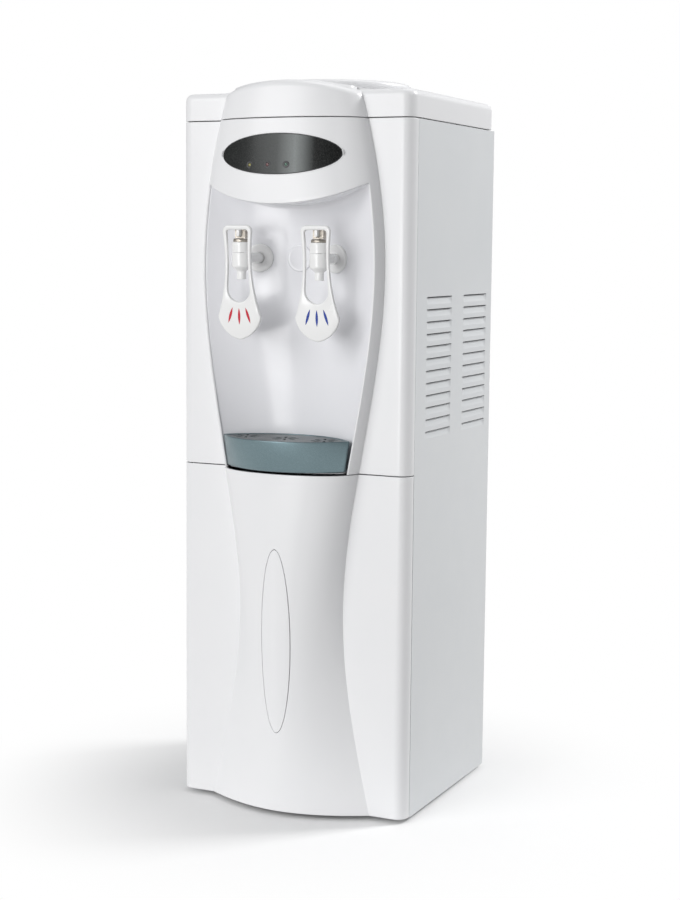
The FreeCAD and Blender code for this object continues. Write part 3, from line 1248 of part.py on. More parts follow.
build_base()
build_side("left_side_panel", -1)
build_side("right_side_panel", 1)
build_back()
build_back_holes()
build_cover()
build_front()
build_taps()
build_tray()
build_door()
build_inside()
doc.recompute()

faults = [item.Name for item in doc.Objects if {"Invalid", "Error"} & set(item.State)]
for name, item in parts.items():
    if item.Shape.isNull() or not item.Shape.isValid() or not item.Shape.Solids:
        faults.append(name)
if faults:
    raise RuntimeError("not built: " + ", ".join(faults))
for name, item in parts.items():
    item.Shape.exportStep(f"parts/{name}.step")
    print(f"{name}: {len(item.Shape.Solids)} solid(s), {item.Shape.Volume / 1000:.1f} cm3")
print(len(parts), "sub-parts")
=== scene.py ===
import logging
import math
from collections.abc import Callable, Sequence
from dataclasses import dataclass
from enum import Enum
from functools import lru_cache

import bmesh
import bpy
from mathutils import Matrix, Vector


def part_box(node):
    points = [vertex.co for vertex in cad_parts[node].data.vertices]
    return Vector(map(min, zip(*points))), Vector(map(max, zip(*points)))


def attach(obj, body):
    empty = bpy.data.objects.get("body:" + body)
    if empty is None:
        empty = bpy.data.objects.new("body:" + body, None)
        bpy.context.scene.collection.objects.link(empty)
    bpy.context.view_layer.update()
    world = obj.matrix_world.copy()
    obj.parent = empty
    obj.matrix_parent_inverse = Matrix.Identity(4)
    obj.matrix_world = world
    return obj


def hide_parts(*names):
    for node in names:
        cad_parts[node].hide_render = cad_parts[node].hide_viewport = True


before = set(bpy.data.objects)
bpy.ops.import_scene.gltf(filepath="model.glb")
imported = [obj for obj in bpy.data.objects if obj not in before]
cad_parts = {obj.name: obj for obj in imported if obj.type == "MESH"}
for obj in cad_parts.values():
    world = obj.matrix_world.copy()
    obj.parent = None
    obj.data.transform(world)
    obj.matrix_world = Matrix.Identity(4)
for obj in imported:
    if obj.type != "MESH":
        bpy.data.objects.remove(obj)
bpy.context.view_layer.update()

# Floor-standing hot and cold water dispenser, dressed round the fixed frame.
# Pieces are shaped in local millimetres: x across, y behind the flat front strips, z over the
# cabinet's underside. LOCAL carries them into the frame, in metres.

logging.basicConfig(level=logging.INFO, format="%(message)s")
log = logging.getLogger("dispenser")

CABINET_DEPTH = 302.0
STRIPS_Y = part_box("right_side_panel")[1].y - CABINET_DEPTH / 1000
UNDERSIDE_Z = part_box("base_pan")[0].z
LOCAL = Matrix.Translation((0, STRIPS_Y, UNDERSIDE_Z)) @ Matrix.Scale(0.001, 4)
FULL_TURN = math.tau
QUARTER_TURN = math.pi / 2
WELD = 0.002  # points closer than this are one


# ---------------------------------------------------------------- finishes

class Texture(Enum):
    """The small relief that a finish carries."""

    PEEL = "orange peel of a glossy moulding"
    GRAIN = "fine spark grain"
    BRUSHED = "long fine scratches"
    KNURLED = "crossed ridges"
    CELLS = "foam beads"


class Graph:
    """A material's node tree, with short ways to add and join nodes."""

    def __init__(self, name: str) -> None:
        """Start a material whose shader is a Principled one.

        Args:
            name: the material's name.
        """
        self.material = bpy.data.materials.new(name)
        self.material.use_nodes = True
        self.tree = self.material.node_tree
        self.shader = self.tree.nodes["Principled BSDF"]
        self.place = self.add("ShaderNodeTexCoord").outputs["Object"]

    def add(self, kind: str, **inputs: object) -> bpy.types.Node:
        """Add a node and fill its inputs.

        Args:
            kind: the node's type name.
            inputs: values or sockets, by input name with _ for a space.

        Returns:
            The node.
        """
        node = self.tree.nodes.new(kind)
        for key, value in inputs.items():
            self.feed(node.inputs[key.replace("_", " ")], value)
        return node

    def feed(self, socket: bpy.types.NodeSocket, value: object) -> None:
        """Give a socket a link or a constant.

        Args:
            socket: the input to fill.
            value: another node's output, or a plain value.
        """
        if isinstance(value, bpy.types.NodeSocket):
            self.tree.links.new(value, socket)
        else:
            socket.default_value = value

    def stretched(self, scale: Sequence[float]) -> bpy.types.NodeSocket:
        """Object coordinates stretched along the axes."""
        return self.add("ShaderNodeMapping", Vector=self.place, Scale=tuple(scale)).outputs[0]

    def noise(self, scale: float, detail: float = 2.0, place: object = None) -> bpy.types.NodeSocket:
        """A noise value over the piece.

        Args:
            scale: features per metre.
            detail: octaves.
            place: coordinates, or None for Object coordinates.

        Returns:
            The noise's value socket.
        """
        node = self.add("ShaderNodeTexNoise", Vector=place or self.place, Scale=scale, Detail=detail)
        return node.outputs[0]

    def spread(self, value: object, low: float, high: float, start: float = 0.3, end: float = 0.7) -> object:
        """Map a 0 to 1 pattern onto a range.

        Args:
            value: the pattern.
            low: result at start.
            high: result at end.
            start: pattern value that gives low.
            end: pattern value that gives high.

        Returns:
            The mapped socket.
        """
        node = self.add("ShaderNodeMapRange", Value=value, From_Min=start, From_Max=end, To_Min=low,
                        To_Max=high)
        return node.outputs[0]

    def blend(self, factor: object, first: Sequence[float], second: Sequence[float]) -> bpy.types.NodeSocket:
        """Mix two colours by a pattern.

        Args:
            factor: the pattern.
            first: colour where it is 0, or a socket.
            second: colour where it is 1, or a socket.

        Returns:
            The mixed colour's socket.
        """
        node = self.tree.nodes.new("ShaderNodeMix")
        node.data_type = "RGBA"
        self.feed(node.inputs[0], factor)
        self.feed(node.inputs[6], first if isinstance(first, bpy.types.NodeSocket) else (*first, 1))
        self.feed(node.inputs[7], second if isinstance(second, bpy.types.NodeSocket) else (*second, 1))
        return node.outputs[2]

    def product(self, first: object, second: object) -> bpy.types.NodeSocket:
        """Multiply two values.

        Args:
            first: a value or socket.
            second: a value or socket.

        Returns:
            The product's socket.
        """
        node = self.tree.nodes.new("ShaderNodeMath")
        node.operation = "MULTIPLY"
        self.feed(node.inputs[0], first)
        self.feed(node.inputs[1], second)
        return node.outputs[0]

    def relief(self, height: object, depth: float, strength: float) -> None:
        """Roughen the surface by a height pattern.

        Args:
            height: the pattern.
            depth: its height in metres.
            strength: share of it that shows.
        """
        bump = self.add("ShaderNodeBump", Height=height, Distance=depth, Strength=strength)
        self.feed(self.shader.inputs["Normal"], bump.outputs[0])


@dataclass(frozen=True)
class Finish:
    """One material of the object.

    Attributes:
        name: the material's name.
        colour: main colour, linear.
        shade: colour of its faint patches.
        roughness: roughness in the glossier patches.
        rough_spread: how much duller the other patches are.
        texture: the small relief.
        pitch: the relief's features per metre.
        depth: the relief's height in metres.
        metallic: share of metal.
        coat: clear coat weight.
        shine: specular level.
        clear: share of light let through.
    """

    name: str
    colour: tuple[float, float, float]
    shade: tuple[float, float, float]
    roughness: float = 0.3
    rough_spread: float = 0.08
    texture: Texture = Texture.PEEL
    pitch: float = 900.0
    depth: float = 0.00001
    metallic: float = 0.0
    coat: float = 0.0
    shine: float = 0.5
    clear: float = 0.0

    def height(self, graph: Graph) -> object:
        """The pattern of the small relief.

        Args:
            graph: the material's nodes.

        Returns:
            The pattern's socket.
        """
        if self.texture is Texture.BRUSHED:
            return graph.noise(self.pitch, 3.0, graph.stretched((1.0, 1.0, 0.03)))
        if self.texture is Texture.KNURLED:
            ridges = []
            for lean in (1.0, -1.0):
                turn = (0, lean * QUARTER_TURN / 2, 0)
                place = graph.add("ShaderNodeMapping", Vector=graph.place, Rotation=turn)
                wave = graph.add("ShaderNodeTexWave", Vector=place.outputs[0], Scale=self.pitch)
                ridges.append(wave.outputs[1])
            return graph.product(*ridges)
        if self.texture is Texture.CELLS:
            return graph.add("ShaderNodeTexVoronoi", Vector=graph.place, Scale=self.pitch).outputs[0]
        return graph.noise(self.pitch, 4.0 if self.texture is Texture.GRAIN else 1.0)

    def paint(self, graph: Graph) -> object:
        """The colour over the surface."""
        return graph.blend(graph.spread(graph.noise(9.0, 3.0), 0, 1), self.colour, self.shade)

    @lru_cache(maxsize=None)
    def material(self) -> bpy.types.Material:
        """Build the material once.

        Returns:
            The material.
        """
        graph = Graph(self.name)
        shader = graph.shader.inputs
        graph.feed(shader["Base Color"], self.paint(graph))
        worn = graph.spread(graph.noise(55.0, 4.0), self.roughness, self.roughness + self.rough_spread)
        graph.feed(shader["Roughness"], worn)
        shader["Metallic"].default_value = self.metallic
        shader["Coat Weight"].default_value = self.coat
        shader["Coat Roughness"].default_value = 0.06
        shader["Transmission Weight"].default_value = self.clear
        shader["Specular IOR Level"].default_value = self.shine
        graph.relief(self.height(graph), self.depth, 0.6)
        return graph.material


@dataclass(frozen=True)
class FlakeLacquer(Finish):
    """Slate lacquer with metal flakes under a clear coat."""

    flake: tuple[float, float, float] = (0.36, 0.46, 0.48)

    def paint(self, graph: Graph) -> object:
        """The lacquer's colour with bright flakes scattered in it.

        Args:
            graph: the material's nodes.

        Returns:
            The colour's socket.
        """
        ground = super().paint(graph)
        cells = graph.add("ShaderNodeTexVoronoi", Vector=graph.place, Scale=2600.0)
        apart = graph.add("ShaderNodeSeparateColor", Color=cells.outputs[1]).outputs[0]
        return graph.blend(graph.spread(apart, 0.0, 0.3, 0.7, 1.0), ground, self.flake)


@dataclass(frozen=True)
class WindowLacquer(Finish):
    """Dark lacquer of the indicator window, with a pale upright band of painted reflection across it.

    Attributes:
        painted_reflection_stops: place across the window in metres and brightness, left to right; the pale
            band in them is a painted reflection.
    """

    painted_reflection_stops: tuple[tuple[float, float], ...] = ((-0.088, 0.012), (-0.04, 0.022), (0.0, 0.075), (0.026, 0.25),
                                              (0.037, 0.16), (0.052, 0.008), (0.088, 0.003))

    def paint(self, graph: Graph) -> object:
        """The gradient with its painted reflection band, and a fine sparkle.

        Args:
            graph: the material's nodes.

        Returns:
            The colour's socket.
        """
        # brightness ramp across the window: a painted reflection, a pale upright band on the dark lacquer
        across = graph.add("ShaderNodeSeparateXYZ", Vector=graph.place).outputs[0]
        low, high = self.painted_reflection_stops[0][0], self.painted_reflection_stops[-1][0]
        share = graph.add("ShaderNodeMapRange", Value=across, From_Min=low, From_Max=high).outputs[0]
        ramp = graph.add("ShaderNodeValToRGB", Fac=share)
        band = ramp.color_ramp
        for spot, _ in self.painted_reflection_stops[1:-1]:
            band.elements.new((spot - low) / (high - low))
        for stop, (_, bright) in zip(band.elements, self.painted_reflection_stops):
            stop.color = (bright * 0.93, bright, bright * 0.99, 1)
        cells = graph.add("ShaderNodeTexVoronoi", Vector=graph.place, Scale=1500.0)
        apart = graph.add("ShaderNodeSeparateColor", Color=cells.outputs[1]).outputs[0]
        return graph.blend(graph.spread(apart, 0.0, 0.3, 0.5, 1.0), ramp.outputs[0], self.shade)


@dataclass(frozen=True)
class BoardFinish(Finish):
    """Green solder mask with paler copper runs under it."""

    def paint(self, graph: Graph) -> object:
        """The mask with its runs.

        Args:
            graph: the material's nodes.

        Returns:
            The colour's socket.
        """
        ground = super().paint(graph)
        place = graph.add("ShaderNodeMapping", Vector=graph.place, Rotation=(math.pi / 2, 0, 0))
        runs = graph.add("ShaderNodeTexBrick", Vector=place.outputs[0], Scale=220.0, Mortar_Size=0.06)
        return graph.blend(graph.spread(runs.outputs[1], 0, 0.6, 0, 1), ground, (0.16, 0.42, 0.14))


GLOSS_WHITE = Finish("gloss_white", (0.84, 0.84, 0.848), (0.825, 0.828, 0.838), 0.3, 0.06, pitch=260.0,
                     depth=0.000012, coat=0.08)
NICHE_WHITE = Finish("niche_white", (0.82, 0.82, 0.845), (0.805, 0.808, 0.835), 0.22, 0.05, pitch=220.0,
                     depth=0.000015, coat=0.12)
TAP_WHITE = Finish("tap_white", (0.86, 0.86, 0.855), (0.84, 0.84, 0.835), 0.2, pitch=600.0, depth=0.000012,
                   coat=0.2)
COAT_WHITE = Finish("powder_coat", (0.72, 0.735, 0.745), (0.7, 0.718, 0.73), 0.34, 0.08, Texture.GRAIN,
                    1500.0, 0.00004, coat=0.05)
LINER_WHITE = Finish("liner_white", (0.72, 0.73, 0.74), (0.69, 0.7, 0.715), 0.42, 0.1, Texture.GRAIN, 1200.0,
                     0.00004)
ZINC = Finish("zinc_sheet", (0.55, 0.57, 0.59), (0.46, 0.48, 0.5), 0.34, 0.14, Texture.CELLS, 90.0, 0.00002,
              metallic=0.9)
TANK_STEEL = Finish("tank_steel", (0.62, 0.62, 0.61), (0.55, 0.55, 0.55), 0.24, 0.12, Texture.BRUSHED, 900.0,
                    0.00003, metallic=1.0)
NICKEL = Finish("nickel", (0.5, 0.46, 0.41), (0.36, 0.33, 0.29), 0.26, 0.16, Texture.KNURLED, 420.0, 0.00012,
                metallic=1.0)
RUBBER = Finish("rubber", (0.025, 0.025, 0.026), (0.04, 0.04, 0.04), 0.6, 0.16, Texture.GRAIN, 1400.0,
                0.00006)
SILICONE = Finish("silicone", (0.8, 0.8, 0.77), (0.74, 0.74, 0.7), 0.34, 0.12, Texture.GRAIN, 300.0, 0.00003,
                  clear=0.2)
RED = Finish("mark_red", (0.62, 0.012, 0.04), (0.5, 0.01, 0.03), 0.22)
BLUE = Finish("mark_blue", (0.012, 0.045, 0.32), (0.01, 0.035, 0.25), 0.22)
SLATE = FlakeLacquer("slate_lacquer", (0.16, 0.225, 0.245), (0.14, 0.2, 0.22), 0.3, pitch=700.0, metallic=0.9,
                     coat=0.2)
# the tray's slate lacquer painted about a third as bright: painted shade on the tray's top under the niche
SLATE_PAINTED_SHADE = FlakeLacquer("slate_painted_shade", (0.055, 0.072, 0.078), (0.045, 0.06, 0.066), 0.34, pitch=700.0,
                          metallic=0.85, coat=0.1)
# the window's colour holds a painted reflection: a pale upright band across dark lacquer
WINDOW = WindowLacquer("window_lacquer", (0.03, 0.035, 0.036), (0.1, 0.105, 0.1), 0.24, 0.05, pitch=500.0,
                       depth=0.000005, shine=0.16)
BLACK = Finish("black_plastic", (0.02, 0.02, 0.022), (0.032, 0.032, 0.034), 0.36, 0.14, Texture.GRAIN, 1100.0,
               0.00005)
YELLOW_LAMP = Finish("lamp_yellow", (0.3, 0.27, 0.05), (0.2, 0.18, 0.04), 0.12, 0.05, coat=0.5, clear=0.2)
RED_LAMP = Finish("lamp_red", (0.16, 0.03, 0.035), (0.1, 0.02, 0.022), 0.12, 0.05, coat=0.5, clear=0.2)
GREEN_LAMP = Finish("lamp_green", (0.02, 0.14, 0.08), (0.012, 0.09, 0.05), 0.12, 0.05, coat=0.5, clear=0.2)
BOARD = BoardFinish("circuit_board", (0.02, 0.16, 0.06), (0.015, 0.12, 0.045), 0.35, 0.1, Texture.GRAIN,
                    800.0, 0.00003)
FOAM = Finish("foam", (0.86, 0.86, 0.84), (0.78, 0.78, 0.75), 0.7, 0.15, Texture.CELLS, 260.0, 0.0004)
ALUMINIUM = Finish("aluminium", (0.72, 0.73, 0.74), (0.62, 0.63, 0.65), 0.3, 0.14, Texture.BRUSHED, 1100.0,
                   0.00003, metallic=1.0)
CERAMIC = Finish("ceramic", (0.8, 0.8, 0.77), (0.72, 0.72, 0.68), 0.4, 0.14, Texture.GRAIN, 700.0, 0.00002)
ROCKER_RED = Finish("rocker_red", (0.5, 0.02, 0.02), (0.42, 0.015, 0.015), 0.22, clear=0.1)
ROCKER_GREEN = Finish("rocker_green", (0.02, 0.24, 0.07), (0.015, 0.19, 0.055), 0.22, clear=0.1)


# ---------------------------------------------------------------- shaping

@dataclass(frozen=True)
class Part:
    """What a finished piece is and where it belongs.

    Attributes:
        name: the piece's name.
        body: the body it moves with.
        slot: the name of a material slot; not used.
        finish: its material.
        stands_for: the frame nodes that it replaces.
    """

    name: str
    body: str
    slot: str
    finish: Finish
    stands_for: tuple[str, ...] = ()


def settle(part: Part, bm: bmesh.types.BMesh,
           facing: Callable[[Vector], Vector] | None = None) -> bpy.types.Object:
    """Turn a local mesh into a piece of the object.

    Args:
        part: what the piece is.
        bm: its mesh in local millimetres.
        facing: for an open sheet, the outward direction at a point; None for a closed shape.

    Returns:
        The piece, riding on its body.
    """
    bmesh.ops.remove_doubles(bm, verts=bm.verts, dist=WELD)
    bmesh.ops.dissolve_degenerate(bm, edges=bm.edges, dist=0.0005)
    bmesh.ops.recalc_face_normals(bm, faces=bm.faces)
    if facing:
        bm.normal_update()
        lean = sum(face.normal.dot(facing(face.calc_center_median())) * face.calc_area() for face in bm.faces)
        if lean < 0:
            bmesh.ops.reverse_faces(bm, faces=bm.faces)
    for face in bm.faces:
        face.smooth = True
    bmesh.ops.transform(bm, matrix=LOCAL, verts=bm.verts)
    mesh = bpy.data.meshes.new(part.name)
    bm.to_mesh(mesh)
    bm.free()
    piece = bpy.data.objects.new(part.name, mesh)
    bpy.context.scene.collection.objects.link(piece)
    mesh.materials.append(part.finish.material())
    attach(piece, part.body)
    if part.stands_for:
        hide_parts(*part.stands_for)
    log.info("%s: %d faces", part.name, len(mesh.polygons))
    return piece


def thicken(piece: bpy.types.Object, wall: float) -> None:
    """Give an open sheet a wall on its inner side.

    Args:
        piece: the sheet.
        wall: thickness in millimetres.
    """
    shell = piece.modifiers.new("wall", "SOLIDIFY")
    shell.thickness = wall / 1000
    shell.offset = -1
    shell.use_even_offset = False


def soften_edges(piece: bpy.types.Object, width: float, angle: float | None = 50.0,
                 segments: int = 3) -> None:
    """Round a piece's edges and keep its broad faces even.

    Args:
        piece: the piece.
        width: rounding in millimetres.
        angle: edges sharper than this many degrees are rounded; None rounds the marked rims only.
        segments: faces across the rounding.
    """
    bevel = piece.modifiers.new("edges", "BEVEL")
    bevel.width = width / 1000
    bevel.segments = segments
    bevel.profile = 0.5
    bevel.use_clamp_overlap = False
    bevel.limit_method = "WEIGHT" if angle is None else "ANGLE"
    if angle is not None:
        bevel.angle_limit = math.radians(angle)
    even = piece.modifiers.new("even", "WEIGHTED_NORMAL")
    even.keep_sharp = False
    even.weight = 60


def mark_rims(bm: bmesh.types.BMesh) -> None:
    """Mark every open edge of a sheet for rounding.

    Args:
        bm: the mesh.
    """
    layer = bm.edges.layers.float.new("bevel_weight_edge")
    for edge in bm.edges:
        if edge.is_boundary:
            edge[layer] = 1.0


def blend(height: float, low: tuple[float, float], high: tuple[float, float], rise_low: float,
          rise_high: float) -> float:
    """A smooth curve of height between two points with end slopes.

    Args:
        height: where to read it.
        low: (height, value) at the lower end.
        high: (height, value) at the upper end.
        rise_low: slope at the lower end.
        rise_high: slope at the upper end.

    Returns:
        The curve's value.
    """
    span = high[0] - low[0]
    part = (height - low[0]) / span
    square, cube = part * part, part * part * part
    return (low[1] * (2 * cube - 3 * square + 1) + high[1] * (3 * square - 2 * cube)
            + rise_low * span * (cube - 2 * square + part) + rise_high * span * (cube - square))


def bezier(poles: Sequence[Sequence[float]], count: int) -> list[Vector]:
    """Points along a Bezier curve.

    Args:
        poles: its control points.
        count: number of steps.

    Returns:
        count + 1 points.
    """
    points = []
    for step in range(count + 1):
        share = step / count
        row = [Vector(pole) for pole in poles]
        while len(row) > 1:
            row = [first.lerp(second, share) for first, second in zip(row, row[1:])]
        points.append(row[0])
    return points


def arc(first: Sequence[float], middle: Sequence[float], last: Sequence[float], count: int) -> list[Vector]:
    """Points along a circular arc through three points of a plane.

    Args:
        first: start.
        middle: a point on the way.
        last: end.
        count: number of steps.

    Returns:
        count + 1 points.
    """
    (ax, ay), (bx, by), (cx, cy) = first, middle, last
    twist = 2 * (ax * (by - cy) + bx * (cy - ay) + cx * (ay - by))
    a2, b2, c2 = ax * ax + ay * ay, bx * bx + by * by, cx * cx + cy * cy
    centre = Vector(((a2 * (by - cy) + b2 * (cy - ay) + c2 * (ay - by)) / twist,
                     (a2 * (cx - bx) + b2 * (ax - cx) + c2 * (bx - ax)) / twist))
    start = math.atan2(ay - centre.y, ax - centre.x)
    half = (math.atan2(by - centre.y, bx - centre.x) - start) % FULL_TURN
    sweep = (math.atan2(cy - centre.y, cx - centre.x) - start) % FULL_TURN
    if half > sweep:
        sweep -= FULL_TURN
    radius = (Vector(first) - centre).length
    turns = [start + sweep * step / count for step in range(count + 1)]
    return [centre + radius * Vector((math.cos(turn), math.sin(turn))) for turn in turns]


def softened(corners: Sequence[tuple[float, float, float]], steps: int = 4,
             closed: bool = False) -> list[Vector]:
    """An outline whose corners are rounded.

    Args:
        corners: (across, up, rounding) of each corner.
        steps: points along each rounding.
        closed: whether the last corner joins the first.

    Returns:
        The outline's points.
    """
    points: list[Vector] = []
    count = len(corners)
    most = 0.49  # share of a side that one rounding may take
    for index, (across, up, rounding) in enumerate(corners):
        here = Vector((across, up))
        ends = not closed and index in (0, count - 1)
        if ends or rounding == 0:
            points.append(here)
            continue
        before = Vector(corners[index - 1][:2])
        after = Vector(corners[(index + 1) % count][:2])
        into = here + (before - here).normalized() * min(rounding, (before - here).length * most)
        out = here + (after - here).normalized() * min(rounding, (after - here).length * most)
        points.extend(bezier((into, here, out), steps))
    return points


class Patch:
    """A sheet of quads laid over a shape, known by column and row."""

    def __init__(self, columns: int, rows: int, shape: Callable[[int, int], Vector],
                 open_cell: Callable[[float, float], bool] | None = None) -> None:
        """Lay the sheet.

        Args:
            columns: quads across.
            rows: quads up.
            shape: the point at a column and row.
            open_cell: whether the quad at a middle column and row is left out.
        """
        self.bm = bmesh.new()
        bmesh.ops.create_grid(self.bm, x_segments=columns, y_segments=rows, size=1)
        if open_cell:
            gone = []
            for face in self.bm.faces:
                middle = face.calc_center_median()
                if open_cell((middle.x + 1) / 2 * columns, (middle.y + 1) / 2 * rows):
                    gone.append(face)
            bmesh.ops.delete(self.bm, geom=gone, context="FACES")
        self.cell = {vert: (round((vert.co.x + 1) / 2 * columns), round((vert.co.y + 1) / 2 * rows))
                     for vert in self.bm.verts}
        for vert, (column, row) in self.cell.items():
            vert.co = shape(column, row)

    def round_opening(self, block: tuple[int, int, int, int], oval: "Oval", steps: int,
                      skin: Callable[[float, float], float]) -> None:
        """Carry the sheet from a missing block of quads in to an oval edge.

        Args:
            block: first and last column, first and last row of the block's rim.
            oval: the edge to reach.
            steps: rings of quads.
            skin: the sheet's depth at a place.
        """
        left, right, low, high = block
        ring = [edge for edge in self.bm.edges if edge.is_boundary and all(
            left <= self.cell[vert][0] <= right and low <= self.cell[vert][1] <= high for vert in edge.verts)]
        start = {vert: vert.co.copy() for edge in ring for vert in edge.verts}
        for step in range(1, steps + 1):
            made = bmesh.ops.extrude_edge_only(self.bm, edges=ring)["geom"]
            spots = {tuple(round(value, 3) for value in vert.co): place for vert, place in start.items()}
            fresh = [item for item in made if isinstance(item, bmesh.types.BMVert)]
            start = {vert: spots[tuple(round(value, 3) for value in vert.co)] for vert in fresh}
            ring = [item for item in made if isinstance(item, bmesh.types.BMEdge)
                    and all(vert in start for vert in item.verts)]
            for vert, place in start.items():
                edge_x, edge_z = oval.toward(place.x, place.z)
                share = step / steps
                across = place.x + (edge_x - place.x) * share
                up = place.z + (edge_z - place.z) * share
                vert.co = Vector((across, skin(across, up), up))


@dataclass(frozen=True)
class Oval:
    """An upright oval on the front.

    Attributes:
        height: its centre.
        half_width: half its width.
        half_height: half its height.
    """

    height: float
    half_width: float
    half_height: float

    def toward(self, across: float, up: float) -> tuple[float, float]:
        """The point of the oval in the direction of a place.

        Args:
            across: the place's distance from the centre line.
            up: its height.

        Returns:
            Across and height of the point.
        """
        east, north = across / self.half_width, (up - self.height) / self.half_height
        reach = math.hypot(east, north)
        return east / reach * self.half_width, self.height + north / reach * self.half_height

    def grown(self, extra: float) -> "Oval":
        """The oval with a wider and taller edge."""
        return Oval(self.height, self.half_width + extra, self.half_height + extra)

    def cap(self, skin: Callable[[float, float], float], proud: float, rings: int = 8) -> bmesh.types.BMesh:
        """A sheet that fills the oval on a skin.

        Args:
            skin: the depth at a place.
            proud: how far in front of the skin it lies.
            rings: rings of quads.

        Returns:
            The sheet.
        """
        columns = 96

        def place(column: int, row: int) -> Vector:
            """The sheet's point on a ring.

            Args:
                column: the sheet's column.
                row: the sheet's row.

            Returns:
                The point.
            """
            turn, reach = FULL_TURN * column / columns, 1 - row / rings
            across = math.cos(turn) * reach * self.half_width
            up = self.height + math.sin(turn) * reach * self.half_height
            return Vector((across, skin(across, up) - proud, up))

        return Patch(columns, rings, place).bm

    def bead(self, skin: Callable[[float, float], float], radius: float, proud: float) -> bmesh.types.BMesh:
        """A round bead along the oval's edge.

        Args:
            skin: the depth at a place.
            radius: the bead's radius.
            proud: how far its centre is in front of the skin.

        Returns:
            The bead.
        """
        columns, sides = 120, 10

        def place(column: int, row: int) -> Vector:
            """The bead's point at a turn and roll.

            Args:
                column: the sheet's column.
                row: the sheet's row.

            Returns:
                The point.
            """
            turn, roll = FULL_TURN * column / columns, FULL_TURN * row / sides
            out = radius * math.cos(roll)
            across = math.cos(turn) * (self.half_width + out)
            up = self.height + math.sin(turn) * (self.half_height + out)
            return Vector((across, skin(across, up) - proud - radius * math.sin(roll), up))

        return Patch(columns, sides, place).bm


def lathe(profile: Sequence[Sequence[float]], foot: Vector, axis: Vector,
          steps: int = 64) -> bmesh.types.BMesh:
    """A turned piece.

    Args:
        profile: (radius, height) points from the foot up.
        foot: where height 0 lies.
        axis: the direction of height.
        steps: faces round it.

    Returns:
        The piece.
    """
    bm = bmesh.new()
    verts = [bm.verts.new((radius, 0, height)) for radius, height in profile]
    edges = [bm.edges.new(pair) for pair in zip(verts, verts[1:])]
    bmesh.ops.spin(bm, geom=verts + edges, cent=(0, 0, 0), axis=(0, 0, 1), dvec=(0, 0, 0), angle=FULL_TURN,
                   steps=steps, use_merge=True, use_duplicate=False)
    turn = Vector((0, 0, 1)).rotation_difference(axis).to_matrix().to_4x4()
    bmesh.ops.transform(bm, matrix=Matrix.Translation(foot) @ turn, verts=bm.verts)
    return bm


def block(low: Sequence[float], high: Sequence[float], rounding: float) -> bmesh.types.BMesh:
    """A small box with rounded edges.

    Args:
        low: lowest corner.
        high: highest corner.
        rounding: edge rounding.

    Returns:
        The box.
    """
    bm = bmesh.new()
    size = Vector(high) - Vector(low)
    middle = (Vector(high) + Vector(low)) / 2
    bmesh.ops.create_cube(bm, size=1, matrix=Matrix.Translation(middle) @ Matrix.Diagonal((*size, 1)))
    bmesh.ops.bevel(bm, geom=bm.edges[:], offset=rounding, offset_type="OFFSET", segments=3, profile=0.5,
                    affect="EDGES", material=-1)
    return bm


def join(first: bmesh.types.BMesh, *others: bmesh.types.BMesh) -> bmesh.types.BMesh:
    """Several local meshes as one.

    Args:
        first: the mesh that takes the others in.
        others: the meshes to add; they are freed.

    Returns:
        The first mesh.
    """
    for other in others:
        held = bpy.data.meshes.new("held")
        other.to_mesh(held)
        other.free()
        first.from_mesh(held)
        bpy.data.meshes.remove(held)
    return first


def forward(_: Vector) -> Vector:
    """The direction of the front."""
    return Vector((0, -1, 0))


# ---------------------------------------------------------------- the front's shape

class Band(Enum):
    """The stretches of a level section, from the centre line outwards."""

    ARCH = "bulge inside the niche edge"
    FLANK = "bulge between the niche edge and the crease"
    STRIP = "flat strip"
    CORNER = "rounded corner"
    RETURN = "return along the side"


BAND_COLUMNS = {Band.ARCH: 28, Band.FLANK: 6, Band.STRIP: 6, Band.CORNER: 8, Band.RETURN: 1}
Station = tuple[Band, float, int]
STRIP_EASE = 1.6  # columns of the flat strip crowd towards the crease


